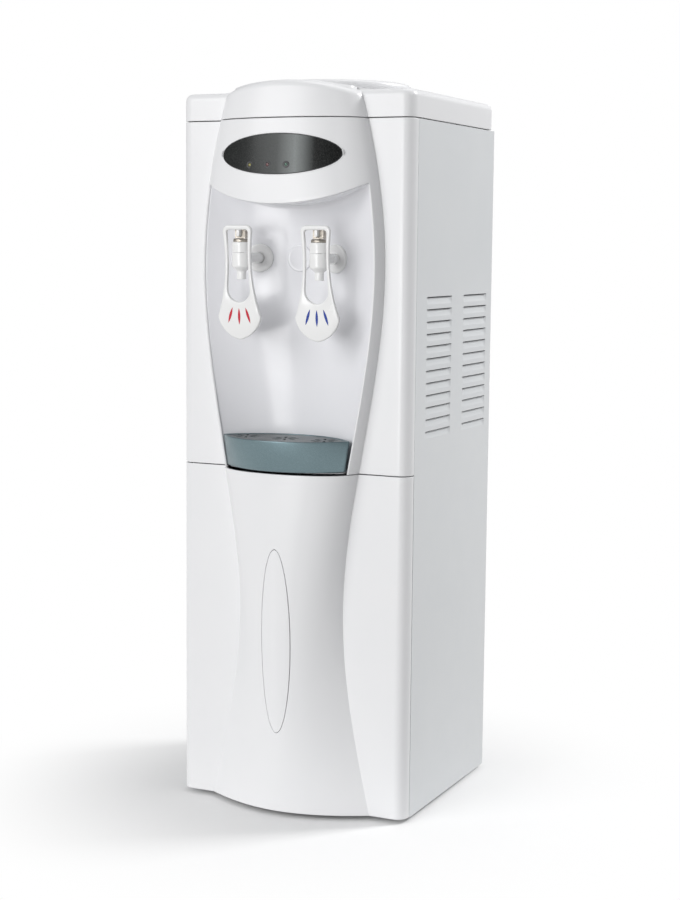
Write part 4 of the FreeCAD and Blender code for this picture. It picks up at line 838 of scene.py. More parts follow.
@dataclass
class FrontShape:
    """The bulged front: flat strips, a crease, and the bulge between the creases."""

    half_width: float = 170.0
    corner: float = 16.0
    side_joint: float = 20.0
    foot_half: float = 120.0
    waist_half: float = 78.0
    chest_half: float = 133.0
    neck_half: float = 107.0
    waist_height: float = 275.0
    chest_height: float = 734.0
    cover_seam: float = 930.0
    door_seam: float = 465.0
    foot_proud: float = 37.5
    middle_proud: float = 52.0
    neck_proud: float = 45.0
    flank: float = 7.0
    foot_half_slope: float = -0.24
    neck_half_slope: float = -0.25
    foot_proud_slope: float = 0.055
    neck_proud_slope: float = -0.12
    foot_edge_angle: float = 30.0
    edge_angle_gain: float = 56.0
    edge_angle_end: float = 35.0

    def half(self, height: float) -> float:
        """Half width of the bulge.

        Args:
            height: where it is taken.

        Returns:
            The half width.
        """
        foot, waist = (0, self.foot_half), (self.waist_height, self.waist_half)
        chest, neck = (self.chest_height, self.chest_half), (self.cover_seam, self.neck_half)
        if height < self.waist_height:
            return blend(height, foot, waist, self.foot_half_slope, 0)
        if height < self.chest_height:
            return blend(height, waist, chest, 0, 0)
        return blend(height, chest, neck, 0, self.neck_half_slope)

    def proud(self, height: float) -> float:
        """How far the bulge stands out at the centre line.

        Args:
            height: where it is taken.

        Returns:
            The distance in front of the strips.
        """
        middle = (self.door_seam, self.middle_proud)
        if height < self.door_seam:
            return blend(height, (0, self.foot_proud), middle, self.foot_proud_slope, 0)
        return blend(height, middle, (self.cover_seam, self.neck_proud), 0, self.neck_proud_slope)

    def skin(self, across: float, height: float, inset: float = 0.0) -> float:
        """Depth of the front's skin.

        Args:
            across: distance from the centre line.
            height: height.
            inset: how far the bulge is drawn in.

        Returns:
            The depth; 0 is the strips, negative is in front.
        """
        half = self.half(height) - inset
        if abs(across) >= half:
            return 0.0
        level = min(1.0, max(0.0, height / (self.door_seam + self.edge_angle_end)))
        angle = math.radians(self.foot_edge_angle + self.edge_angle_gain * level * level * (3 - 2 * level))
        pull = (self.proud(height) - inset) / 0.75
        lean = pull / math.tan(angle)
        low, high = 0.0, 1.0
        halvings = 22
        for _ in range(halvings):
            share = (low + high) / 2
            rest = 1 - share
            place = (half * (share ** 3 - rest ** 3)
                     + 3 * share * rest * ((half - lean) * share - (half - lean) * rest))
            if place < across:
                low = share
            else:
                high = share
        return -3 * pull * low * (1 - low)

    def stations(self) -> list[Station]:
        """Where the columns of a front panel lie, left to right.

        Returns:
            (band, share of the band, side) of each column.
        """
        right: list[tuple[Band, float]] = []
        for band, count in BAND_COLUMNS.items():
            right += [(band, step / count) for step in range(1, count + 1)]
        left = [(band, share, -1) for band, share in reversed(right)]
        return left + [(Band.ARCH, 0.0, 1)] + [(band, share, 1) for band, share in right]

    def plan(self, station: Station, height: float) -> tuple[float, float]:
        """Place of a column at a height.

        Args:
            station: the column.
            height: height.

        Returns:
            Across and depth.
        """
        band, share, side = station
        half = self.half(height)
        inner = half - self.flank
        flat = self.half_width - self.corner
        if band is Band.ARCH:
            across, depth = inner * share, self.skin(inner * share, height)
        elif band is Band.FLANK:
            across = half - self.flank * (1 - share) ** 2
            depth = self.skin(across, height)
        elif band is Band.STRIP:
            across, depth = half + (flat - half) * share ** STRIP_EASE, 0.0
        elif band is Band.CORNER:
            turn = share * QUARTER_TURN
            across, depth = flat + self.corner * math.sin(turn), self.corner * (1 - math.cos(turn))
        else:
            across, depth = self.half_width, self.corner + (self.side_joint - self.corner) * share
        return side * across, depth


FRONT = FrontShape()
SEAM_GAP = 1.2
PANEL_WALL = 3.0


# ---------------------------------------------------------------- upper front

@dataclass
class Niche:
    """The scooped niche behind the taps."""

    lip: float = -17.0
    deep_low: float = 30.0
    deep_high: float = 21.0
    shank_height: float = 748.0
    corner_height: float = 846.0
    brow_height: float = 819.0
    floor_height: float = 468.1
    fillet: float = 7.0
    floor_recess: float = 9.0
    tuck: float = 2.2
    outset: float = 0.25
    sheet: float = 1.6

    def half(self, height: float) -> float:
        """Half width of the opening."""
        return FRONT.half(height) - FRONT.flank

    def deep(self, height: float) -> float:
        """Depth of the wall at the centre line.

        Args:
            height: where it is taken.

        Returns:
            The depth.
        """
        if height > self.shank_height:
            return self.deep_high
        return blend(height, (FRONT.door_seam, self.deep_low), (self.shank_height, self.deep_high), 0, 0)

    def wall(self, across: float, height: float) -> float:
        """Depth of the scooped wall at a place.

        Args:
            across: distance from the centre line.
            height: height.

        Returns:
            The depth.
        """
        half, rise = self.half(height), self.deep(height) - self.lip
        radius = (half * half + rise * rise) / (2 * rise)
        return self.deep(height) - radius + math.sqrt(max(0.0, radius * radius - across * across))

    def normal(self, across: float, height: float) -> Vector:
        """The wall's direction towards the room."""
        slope = self.wall(across + 0.5, height) - self.wall(across - 0.5, height)
        return Vector((slope, -1, 0)).normalized()

    def brow(self, share: float) -> float:
        """Height of the top edge.

        Args:
            share: distance from the centre line, as a share of the half width.

        Returns:
            The height.
        """
        half = self.half(self.corner_height)
        rise = self.corner_height - self.brow_height
        radius = (half * half + rise * rise) / (2 * rise)
        across = half * min(1.0, abs(share))
        return self.brow_height + radius - math.sqrt(radius * radius - across * across)

    def section(self, share: float, pull: float, height: float) -> tuple[float, float, float]:
        """One column of the liner at a height.

        Args:
            share: distance from the centre line, as a share of the half width.
            pull: how far from the wall towards the front, 0 to 1.
            height: height.

        Returns:
            Across, depth of the front edge, and depth of the point.
        """
        half = self.half(height)
        across = share * (half + self.outset)
        front = FRONT.skin(min(abs(across), half), height) + self.tuck
        if height <= self.floor_height:
            front += self.floor_recess
        depth = self.wall(share * half, height)
        return across, front, depth + (front - depth) * pull

    def room(self, share: float, pull: float, edge: float) -> float:
        """How large the fillet is where the liner meets its floor or ceiling."""
        _, front, depth = self.section(share, pull, edge)
        return min(self.fillet, max(0.0, depth - front) * 0.9)

    def build(self) -> None:
        """Build the niche liner: floor, wall and ceiling in one sheet."""
        side_steps, arc_steps = 5, 56
        columns = arc_steps + 2 * side_steps
        flat, bend, wall_rows = 3, 5, 40
        rows = 2 * flat + 2 * bend + wall_rows

        def place(column: int, row: int) -> Vector:
            """The sheet's point: floor and ceiling rows, then fillets, then the wall.

            Args:
                column: the sheet's column.
                row: the sheet's row.

            Returns:
                The point.
            """
            beyond = max(side_steps - column, column - side_steps - arc_steps, 0)
            share = min(1.0, max(-1.0, 2 * (column - side_steps) / arc_steps - 1))
            pull = beyond / side_steps
            top, low = self.brow(share), self.floor_height
            mirrored = row > rows / 2
            step = rows - row if mirrored else row
            edge, sign = (top, -1) if mirrored else (low, 1)
            if step > flat + bend:
                low += self.room(share, pull, self.floor_height)
                top -= self.room(share, pull, top)
                height = low + (top - low) * (row - flat - bend) / wall_rows
                across, _, depth = self.section(share, pull, height)
                return Vector((across, depth, height))
            across, front, depth = self.section(share, pull, edge)
            room = self.room(share, pull, edge)
            if step <= flat:
                return Vector((across, front + (depth - room - front) * step / flat, edge))
            turn = (step - flat) / bend * QUARTER_TURN
            height = edge + sign * room * (1 - math.cos(turn))
            across, _, depth = self.section(share, pull, height)
            return Vector((across, depth - room + room * math.sin(turn), height))

        part = Part("niche_liner", "cabinet", "white_plastic", NICHE_WHITE, ("niche_wall",))
        piece = settle(part, Patch(columns, rows, place).bm, forward)
        thicken(piece, self.sheet)


@dataclass
class UpperFront:
    """The upper front panel with the niche opening and the indicator window."""

    niche: Niche
    low: float = 465.6
    high: float = 929.4
    window: Oval = Oval(883.0, 87.0, 26.4)
    lamp_height: float = 869.0
    lamp_middle: float = -13.0
    lamp_pitch: float = 27.0
    lamp_radius: float = 2.4

    def build(self) -> None:
        """Build the panel, the window and the lamps."""
        self.build_panel()
        self.build_window()
        self.build_lamps()

    def build_panel(self) -> None:
        """Lay the panel round the niche and the window."""
        stations = FRONT.stations()
        middle = len(stations) // 2
        opening_rows, rows = 46, 68
        niche_reach, window_reach = BAND_COLUMNS[Band.ARCH], 22
        window_low, window_high = opening_rows + 6, opening_rows + 19

        def place(column: int, row: int) -> Vector:
            """The panel's point; its rows bend round the niche's brow.

            Args:
                column: the sheet's column.
                row: the sheet's row.

            Returns:
                The point.
            """
            band, share, _ = stations[column]
            edge = self.niche.brow(share if band is Band.ARCH else 1.0)
            if row <= opening_rows:
                height = self.low + (edge - self.low) * row / opening_rows
            else:
                height = edge + (self.high - edge) * (row - opening_rows) / (rows - opening_rows)
            across, depth = FRONT.plan(stations[column], height)
            return Vector((across, depth, height))

        def opened(column: float, row: float) -> bool:
            """Whether a quad lies in the niche or the window.

            Args:
                column: a quad's middle column.
                row: its middle row.

            Returns:
                True where the quad is left out.
            """
            aside = abs(column - middle)
            in_niche = aside < niche_reach and row < opening_rows
            in_window = aside < window_reach and window_low < row < window_high
            return in_niche or in_window

        patch = Patch(len(stations) - 1, rows, place, opened)
        rim = (middle - window_reach, middle + window_reach, window_low, window_high)
        patch.round_opening(rim, self.window.grown(0.4), 4, FRONT.skin)
        mark_rims(patch.bm)
        part = Part("upper_front_skin", "cabinet", "white_plastic", GLOSS_WHITE, ("upper_front_panel",))
        piece = settle(part, patch.bm, forward)
        thicken(piece, PANEL_WALL)
        soften_edges(piece, 0.9, None)

    def build_window(self) -> None:
        """Build the dark window, its black edge and the pale bead round it."""
        part = Part("window_lens", "cabinet", "window_black", WINDOW, ("indicator_lens",))
        lens = settle(part, self.window.grown(-0.3).cap(FRONT.skin, 0.3), forward)
        thicken(lens, 2.0)
        soften_edges(lens, 0.5, 60.0)
        edge = Part("window_edge", "cabinet", "window_black", BLACK)
        settle(edge, self.window.grown(-0.4).bead(FRONT.skin, 0.6, 0.0))
        bead = Part("window_bead", "cabinet", "white_plastic", GLOSS_WHITE)
        settle(bead, self.window.grown(0.9).bead(FRONT.skin, 0.8, -0.3))

    def build_lamps(self) -> None:
        """Build the three lamps and the dark rings round them."""
        colours = (("yellow", YELLOW_LAMP), ("red", RED_LAMP), ("green", GREEN_LAMP))
        for index, (colour, finish) in enumerate(colours):
            across = self.lamp_middle + (index - 1) * self.lamp_pitch
            depth = FRONT.skin(across, self.lamp_height)
            foot = Vector((across, depth + 4.0, self.lamp_height))
            radius = self.lamp_radius
            dome = softened(((0, 5.0, 0), (radius * 0.75, 4.9, 1.0), (radius, 3.6, 1.0), (radius, 0, 0),
                             (0, 0, 0)))
            lamp = Part(f"{colour}_lamp_dome", "cabinet", f"lamp_{colour}", finish, (f"{colour}_lamp",))
            settle(lamp, lathe(dome, foot, Vector((0, -1, 0)), 32))
            inner, outer = radius + 0.1, radius + 2.3
            collar = softened(((inner, 3.0, 0), (inner, 4.6, 0.3), (outer, 4.7, 0.5), (outer, 3.0, 0)))
            ring = Part(f"{colour}_lamp_collar", "cabinet", "window_black", BLACK)
            settle(ring, lathe([*collar, collar[0]], foot, Vector((0, -1, 0)), 32))


# ---------------------------------------------------------------- door

@dataclass
class Door:
    """The lower door with its long oval inlay."""

    low: float = 1.2
    high: float = 464.4
    inlay: Oval = Oval(237.5, 21.0, 125.5)
    groove: float = 0.8
    return_end: float = 19.0
    inlay_wall: float = 3.4

    def build(self) -> None:
        """Build the skin with its groove, and the inlay."""
        stations = FRONT.stations()
        middle = len(stations) // 2
        rows, reach = 64, 10
        block_low, block_high = 14, 51

        def place(column: int, row: int) -> Vector:
            """The skin's point.

            Args:
                column: the sheet's column.
                row: the sheet's row.

            Returns:
                The point.
            """
            height = self.low + (self.high - self.low) * row / rows
            across, depth = FRONT.plan(stations[column], height)
            return Vector((across, min(depth, self.return_end), height))

        def opened(column: float, row: float) -> bool:
            """Whether a quad lies behind the inlay."""
            return abs(column - middle) < reach and block_low < row < block_high

        patch = Patch(len(stations) - 1, rows, place, opened)
        rim = (middle - reach, middle + reach, block_low, block_high)
        patch.round_opening(rim, self.inlay.grown(self.groove), 3, FRONT.skin)
        mark_rims(patch.bm)
        part = Part("door_skin", "door", "white_plastic", GLOSS_WHITE, ("door_panel",))
        skin = settle(part, patch.bm, forward)
        thicken(skin, PANEL_WALL)
        soften_edges(skin, 0.7, None)
        inlay = settle(Part("door_oval", "door", "white_plastic", GLOSS_WHITE, ("door_inlay",)),
                       self.inlay.cap(FRONT.skin, 0.05), forward)
        thicken(inlay, self.inlay_wall)
        soften_edges(inlay, 0.5, 60.0)


# ---------------------------------------------------------------- top

@dataclass(frozen=True)
class TopCover:
    """The top cover with its crown, and the bottle deck on it."""

    shoulder: float = 967.0
    crown: float = 979.0
    edge: float = 10.0
    corner: float = 16.0
    depth: float = CABINET_DEPTH
    deck_centre: float = 135.0
    deck_radius: float = 102.0
    neck_radius: float = 28.0
    crown_end: float = 70.0
    crown_fade: float = 80.0
    deck_overlap: float = 0.4
    hem: float = 8.0

    def crown_rise(self, across: float, depth: float) -> float:
        """How far the crown stands over the shoulders; it dies away towards the deck.

        Args:
            across: distance from the centre line.
            depth: depth.

        Returns:
            The height over the shoulders.
        """
        reach, sagitta = FRONT.neck_half, self.crown - self.shoulder + 1
        radius = (reach * reach + sagitta * sagitta) / (2 * sagitta)
        if abs(across) >= reach:
            return 0.0
        arch = self.crown - radius + math.sqrt(radius * radius - across * across) - self.shoulder
        share = min(1.0, max(0.0, (depth - self.crown_end) / self.crown_fade))
        return max(0.0, arch) * (1 - share * share * (3 - 2 * share))

    @lru_cache(maxsize=None)
    def outline(self, height: float, inset: float) -> list[tuple[float, float]]:
        """The cover's level outline, once round from the front centre.

        Args:
            height: where it is taken.
            inset: how far it is drawn in.

        Returns:
            (across, depth) points.
        """
        half, flat = FRONT.half(height) - inset, FRONT.half_width - self.corner
        round_off = self.corner - inset
        side, rear = FRONT.half_width - inset, self.depth - inset
        bulge, strip, bend, straight = 24, 6, 8, 16
        right: list[tuple[float, float]] = []
        for step in range(bulge):
            across = half * math.sin(step / bulge * QUARTER_TURN)
            right.append((across, min(FRONT.skin(across, height, inset), inset)))
        last, jut = right[-1]
        right += [(last + (half - last) * step / 5, jut + (inset - jut) * step / 5) for step in range(1, 5)]
        right += [(half + (flat - half) * (step / strip) ** STRIP_EASE, inset) for step in range(strip)]
        turns = [(round_off * math.sin(turn), round_off * math.cos(turn))
                 for turn in (step / bend * QUARTER_TURN for step in range(bend))]
        right += [(flat + opposite, inset + round_off - along) for opposite, along in turns]
        run = self.depth - 2 * self.corner
        right += [(side, self.corner + run * step / straight) for step in range(straight)]
        right += [(flat + along, self.depth - self.corner + opposite) for opposite, along in turns]
        right += [(flat * (1 - step / 10), rear) for step in range(11)]
        return right + [(-across, depth) for across, depth in reversed(right[1:-1])]

    def build(self) -> None:
        """Build the cover and the deck."""
        self.build_cover()
        self.build_deck()

    def build_cover(self) -> None:
        """Loft the cover from its seam over its rounded edge in to the deck."""
        base = FRONT.cover_seam + SEAM_GAP / 2
        rounding, over, crowding = 6, 12, 1.8
        seam = self.outline(base, 0.0)
        columns = len(seam)
        levels: list[list[Vector]] = []
        for share in (0.0, 0.06, 0.5, 1.0):
            row = []
            for across, depth in seam:
                top = self.shoulder + self.crown_rise(across, depth) - self.edge
                height = base + (top - base) * share
                row.append(Vector((*self.spot(height, 0.0, len(row)), height)))
            levels.append(row)
        for step in range(1, rounding + 1):
            turn = step / rounding * QUARTER_TURN
            inset = self.edge * (1 - math.cos(turn))
            row = []
            for across, depth in seam:
                height = self.shoulder + self.crown_rise(across, depth) - self.edge * (1 - math.sin(turn))
                row.append(Vector((*self.spot(height, inset, len(row)), height)))
            levels.append(row)
        rim = levels[-1]
        centre = Vector((0, self.deck_centre))
        for step in range(1, over + 1):
            row = []
            for point in rim:
                flat = Vector((point.x, point.y))
                ring = centre + (flat - centre).normalized() * (self.deck_radius - self.deck_overlap)
                spot = flat.lerp(ring, (step / over) ** crowding)
                row.append(Vector((spot.x, spot.y, self.shoulder + self.crown_rise(spot.x, spot.y))))
            levels.append(row)
        levels.append([Vector((point.x, point.y, self.shoulder - self.hem)) for point in levels[-1]])
        patch = Patch(columns, len(levels) - 1, lambda column, row: levels[row][column % columns])
        bmesh.ops.remove_doubles(patch.bm, verts=patch.bm.verts, dist=WELD)
        mark_rims(patch.bm)
        part = Part("cover_shell", "cabinet", "white_plastic", GLOSS_WHITE, ("top_cover",))
        piece = settle(part, patch.bm, lambda point: Vector((point.x, point.y - self.deck_centre, 200)))
        thicken(piece, PANEL_WALL)
        soften_edges(piece, 0.7, None)

    def spot(self, height: float, inset: float, index: int) -> tuple[float, float]:
        """One point of the outline at a height."""
        return self.outline(round(height, 2), round(inset, 3))[index]

    def build_deck(self) -> None:
        """Turn the bottle deck: rim, dish and neck socket."""
        deck, neck = self.deck_radius, self.neck_radius
        outside = neck + PANEL_WALL
        profile = softened((
            (deck, 37, 0), (deck, 52, 4), (deck - 5, 55, 3), (deck - 12, 55, 2.5), (deck - 17, 52, 2),
            (neck + 8, 23, 6), (neck, 17, 3), (neck, -15, 0.8), (outside, -15, 0.8), (outside, 16, 3),
            (deck - 36, 36, 0), (deck, 37, 0)), 5)
        part = Part("bottle_deck", "cabinet", "white_plastic", GLOSS_WHITE, ("bottle_seat",))
        foot = Vector((0, self.deck_centre, FRONT.cover_seam))
        settle(part, lathe(profile, foot, Vector((0, 0, 1)), 128))


# ---------------------------------------------------------------- side panels

@dataclass
class SidePanel:
    """A coated steel side with two columns of pressed louvres."""

    side: int
    name: str
    front: float = 20.5
    rear: float = CABINET_DEPTH
    top: float = 929.4
    first: float = 519.0
    pitch: float = 16.3
    count: int = 12
    length: float = 90.0
    starts: tuple[float, float] = (57.0, 191.0)
    slot: float = 1.2
    fall: float = 9.5
    press: float = 3.0
    wall: float = 1.2
    setback: float = 0.15
    margin: float = 40.0
    drops: tuple[float, ...] = (9.5, 8.0, 6.0, 3.5, 1.4, 0.0)
    steps: tuple[float, ...] = (0.0, 0.8, 2.2, 4.5, 8.0)
    flange_near: float = 156.0
    flange_far: float = 168.6
    flange_low: float = 14.0

    def build(self) -> None:
        """Lay the sheet with its pressed pockets and slots."""
        depths, spans = [self.front], []
        for start in self.starts:
            end = start + self.length
            spans.append((len(depths), len(depths) + 2 * len(self.steps)))
            depths += [start + step for step in self.steps] + [start + self.length / 2]
            depths += [end - step for step in reversed(self.steps)]
        depths.append(self.rear)
        heights = [0.0, 160.0, 320.0, self.first - self.margin]
        pressed_rows: dict[int, float] = {}
        slot_rows: set[int] = set()
        for index in range(self.count):
            edge = self.first + self.pitch * index + self.slot / 2
            for drop in self.drops:
                pressed_rows[len(heights)] = 1 - (drop / self.fall) ** 1.6
                heights.append(edge - self.slot - drop)
            slot_rows.add(len(heights) - 1)
            heights.append(edge)
        heights += [heights[-1] + self.margin, 820.0, self.top]

        def place(column: int, row: int) -> Vector:
            """The sheet's point, pressed inwards in a pocket.

            Args:
                column: the sheet's column.
                row: the sheet's row.

            Returns:
                The point.
            """
            depth, pressed = depths[column], 0.0
            for start in self.starts:
                aside = min(depth - start, start + self.length - depth, self.steps[-1])
                if row in pressed_rows and aside >= 0:
                    pressed = math.sin(aside / self.steps[-1] * QUARTER_TURN) * pressed_rows[row]
            across = FRONT.half_width - self.setback - self.press * pressed
            return Vector((self.side * across, depth, heights[row]))

        def opened(column: float, row: float) -> bool:
            """Whether a quad lies in a slot."""
            return int(row) in slot_rows and any(low + 1 < column < high - 1 for low, high in spans)

        patch = Patch(len(depths) - 1, len(heights) - 1, place, opened)
        mark_rims(patch.bm)
        part = Part(f"{self.name}_side_sheet", "cabinet", "white_steel", COAT_WHITE,
                    (f"{self.name}_side_panel",))
        piece = settle(part, patch.bm, lambda _: Vector((self.side, 0, 0)))
        thicken(piece, self.wall)
        soften_edges(piece, 0.3, None, 2)
        for label, start in (("front", self.front + 3.5), ("rear", self.rear - 6.0)):
            near, far = sorted((self.side * self.flange_near, self.side * self.flange_far))
            flange = block((near, start, self.flange_low), (far, start + self.wall, self.top), 0.3)
            settle(Part(f"{self.name}_{label}_flange", "cabinet", "white_steel", COAT_WHITE), flange)


# ---------------------------------------------------------------- taps

@dataclass
class Tap:
    """One tap with its lever."""

    name: str
    side: int
    niche: Niche
    mark: Finish
    mark_slot: str
    reach: float = 38.0
    offset: float = 57.0
    pin_height: float = 781.0
    barrel_radius: float = 13.0
    barrel_low: float = 736.5
    barrel_top: float = 755.0
    nozzle_radius: float = 6.0
    nozzle_bore: float = 4.0
    nozzle_low: float = 720.0
    valve_bore: float = 3.0
    bonnet_low: float = 755.3
    bonnet_top: float = 769.0
    stem_bore: float = 2.8
    nut_radius: float = 11.5
    nut_top: float = 773.5
    shank_radius: float = 6.9
    shank_start: float = 9.0
    shank_length: float = 74.0
    flange_radius: float = 19.0
    lever_plane: float = 50.0
    lean: float = 4.0
    half_thick: float = 2.5
    rounding: float = 2.1
    tongue_half: float = 2.1
    tongue_end: float = 33.5
    mark_length: float = 22.0
    mark_half: float = 1.8
    mark_pitch: float = 13.0
    mark_splay: float = 18.0
    mark_drop: float = 110.0
    mark_rise: float = 1.5

    @property
    def foot(self) -> Vector:
        """The tap's axis at height 0."""
        return Vector((self.side * self.offset, -self.reach, 0))

    def build(self) -> None:
        """Build every piece of the tap."""
        self.build_body()
        self.build_flange()
        self.build_lever()
        self.build_marks()

    def build_body(self) -> None:
        """Turn the barrel with its nozzle, the bonnet, the nut and the shank."""
        up = Vector((0, 0, 1))
        wide, nozzle, low = self.barrel_radius, self.nozzle_radius, self.nozzle_low
        bore, mouth, top = self.valve_bore, self.nozzle_bore, self.barrel_top
        barrel = softened(((mouth, low, 0), (nozzle, low, 0.6), (nozzle, self.barrel_low - 6, 0.8),
                           (wide, self.barrel_low, 1.6), (wide, top, 0.5), (bore, top, 0),
                           (bore, self.barrel_low + 1.5, 0), (mouth, self.barrel_low + 0.5, 0),
                           (mouth, low, 0)))
        body = Part(f"{self.name}_tap_barrel", "cabinet", "tap_plastic", TAP_WHITE,
                    (f"{self.name}_tap_body",))
        settle(body, lathe(barrel, self.foot, up, 64))
        bore, low, top = self.stem_bore, self.bonnet_low, self.bonnet_top
        bonnet = softened(((bore, low, 0), (wide, low, 0.5), (wide, top, 1.6), (bore, top, 0),
                           (bore, low, 0)))
        settle(Part(f"{self.name}_bonnet", "cabinet", "tap_plastic", TAP_WHITE),
               lathe(bonnet, self.foot, up, 64))
        nut_radius, nut_top = self.nut_radius, self.nut_top
        nut = softened(((bore, top, 0), (nut_radius - 0.1, top, 0.6), (nut_radius, top + 2.4, 1.0),
                        (nut_radius - 1.1, nut_top, 0.8), (bore, nut_top, 0), (bore, top, 0)))
        settle(Part(f"{self.name}_bonnet_nut", "cabinet", "nickel", NICKEL), lathe(nut, self.foot, up, 48))
        start = self.foot + Vector((0, self.shank_start, self.niche.shank_height))
        radius, length = self.shank_radius, self.shank_length
        shank = softened(((0, 0, 0), (radius, 0, 0.5), (radius, length, 0.5), (0, length, 0)))
        settle(Part(f"{self.name}_shank", "cabinet", "tap_plastic", TAP_WHITE),
               lathe(shank, start, Vector((0, 1, 0)), 40))

    def build_flange(self) -> None:
        """Turn the flange that lies on the niche wall."""
        across, height = self.side * self.offset, self.niche.shank_height
        seat = Vector((across, self.niche.wall(across, height) + 1.0, height))
        wide, bore = self.flange_radius, self.shank_radius
        disc = softened(((bore, 0, 0), (wide, 0, 0.4), (wide, 4.2, 1.6), (wide - 2.5, 5.0, 1.2),
                         (bore, 5.0, 0.3), (bore, 0, 0)))
        settle(Part(f"{self.name}_flange", "cabinet", "tap_plastic", TAP_WHITE),
               lathe(disc, seat, self.niche.normal(across, height), 72))

    def edges(self) -> tuple[list[Vector], list[Vector]]:
        """The lever's outer and inner outline about its pin, point by point.

        Returns:
            Two closed outlines of the same number of points.
        """
        outer = [Vector((13.5 * step / 5, 10)) for step in range(5)]
        outer += arc((13.5, 10), (19.2, 7.7), (21.5, 2), 6)[:-1]
        outer += bezier(((21.5, 2), (19, -18), (18, -45), (18, -62), (23.5, -90), (32, -111)), 24)[:-1]
        outer += arc((32, -111), (17.8, -133.4), (0, -141), 12)
        inner = [Vector((11.5 * step / 5, 4)) for step in range(5)]
        inner += arc((11.5, 4), (14.3, 2.8), (15.5, 0), 6)[:-1]
        inner += bezier(((15.5, 0), (14, -20), (14, -40), (15, -56), (18, -71), (16, -79)), 24)[:-1]
        inner += arc((16, -79), (0, -91), (-16, -79), 24)[:13]
        return tuple(half + [Vector((-point.x, point.y)) for point in reversed(half[1:-1])]
                     for half in (outer, inner))

    def tilt(self, bm: bmesh.types.BMesh) -> bmesh.types.BMesh:
        """Lean a mesh drawn about the pin and carry it to the tap.

        Args:
            bm: the mesh.

        Returns:
            The mesh.
        """
        place = Matrix.Translation((self.side * self.offset, -self.lever_plane, self.pin_height))
        lean = Matrix.Rotation(math.radians(self.lean), 4, "X")
        bmesh.ops.transform(bm, matrix=place @ lean, verts=bm.verts)
        return bm

    def build_lever(self) -> None:
        """Build the lever: a rounded frame that widens into the paddle, and its tongue."""
        outer, inner = self.edges()
        turns = [step / 4 * QUARTER_TURN for step in range(5)]
        front = [(0, self.rounding * (1 - math.cos(turn)), -self.half_thick * math.sin(turn))
                 for turn in turns]
        front.append((0.5, 0.0, -self.half_thick))
        front += [(1, gap, depth) for _, gap, depth in reversed(front[:5])]
        back = [(share, gap, -depth) for share, gap, depth in reversed(front[1:-1])]
        section = front + back
        columns, rows = len(outer), len(section)

        def place(column: int, row: int) -> Vector:
            """The frame's point: a column along the outline, a row round the section.

            Args:
                column: the sheet's column.
                row: the sheet's row.

            Returns:
                The point.
            """
            first, last = outer[column % columns], inner[column % columns]
            share, gap, depth = section[row % rows]
            way = (last - first).normalized()
            spot = first.lerp(last, share) + way * (gap if share == 0 else -gap if share == 1 else 0)
            return Vector((spot.x, depth, spot.y))

        frame_mesh = self.tilt(Patch(columns, rows, place).bm)
        lever = f"{self.name}_lever"
        settle(Part(f"{lever}_frame", lever, "tap_plastic", TAP_WHITE, (lever,)), frame_mesh)
        across, half = self.side * self.offset, self.tongue_half
        tongue = block((across - half, -self.lever_plane, self.pin_height - 4.5),
                       (across + half, -self.tongue_end, self.pin_height + 5), 0.6)
        settle(Part(f"{lever}_tongue", lever, "tap_plastic", TAP_WHITE), tongue)

    def build_marks(self) -> None:
        """Build the three pointed colour marks of the paddle."""
        marks = []
        for index in (-1, 0, 1):
            bm = bmesh.new()
            long, wide = self.mark_length / 2, self.mark_half
            rim = arc((0, long), (wide, -1), (0, -long), 14)
            rim += arc((0, -long), (-wide, -1), (0, long), 14)[1:-1]
            face = bm.faces.new([bm.verts.new((point.x, 0, point.y)) for point in rim])
            made = bmesh.ops.extrude_face_region(bm, geom=[face])["geom"]
            raised = [item for item in made if isinstance(item, bmesh.types.BMVert)]
            bmesh.ops.translate(bm, vec=(0, -0.5, 0), verts=raised)
            turn = Matrix.Rotation(math.radians(-self.mark_splay * index), 4, "Y")
            height = self.mark_rise * abs(index) - self.mark_drop
            spot = Matrix.Translation((self.mark_pitch * index, 0.3 - self.half_thick, height))
            bmesh.ops.transform(bm, matrix=spot @ turn, verts=bm.verts)
            marks.append(bm)
        lever = f"{self.name}_lever"
        part = Part(f"{self.name}_paddle_marks", lever, self.mark_slot, self.mark, (f"{lever}_marks",))
        piece = settle(part, self.tilt(join(*marks)))
        soften_edges(piece, 0.12, 60.0, 2)


@dataclass
class TapRow:
    """Both taps and the blanking plug between them."""

    niche: Niche
    plug_radius: float = 18.0

    def build(self) -> None:
        """Build the taps and the plug."""
        for name, side, finish, slot_name in (("hot", -1, RED, "hot_red"), ("cold", 1, BLUE, "cold_blue")):
            Tap(name, side, self.niche, finish, slot_name).build()
        height, wide = self.niche.shank_height, self.plug_radius
        seat = Vector((0, self.niche.wall(0, height) + 1.0, height))
        disc = softened(((0, 0, 0), (wide, 0, 0.3), (wide, 3.0, 1.0), (wide - 1.2, 3.6, 0.8),
                         (wide - 3.4, 3.1, 0.8), (0, 3.1, 0)))
        part = Part("niche_plug", "cabinet", "tap_plastic", NICHE_WHITE, ("tap_blanking_plug",))
        settle(part, lathe(disc, seat, Vector((0, -1, 0)), 72))
        for piece, pair in (("hot_flange", "tap_flanges"), ("hot_bonnet", "tap_bonnets"),
                            ("hot_bonnet_nut", "bonnet_nuts")):
            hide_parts(pair)


# ---------------------------------------------------------------- drip tray

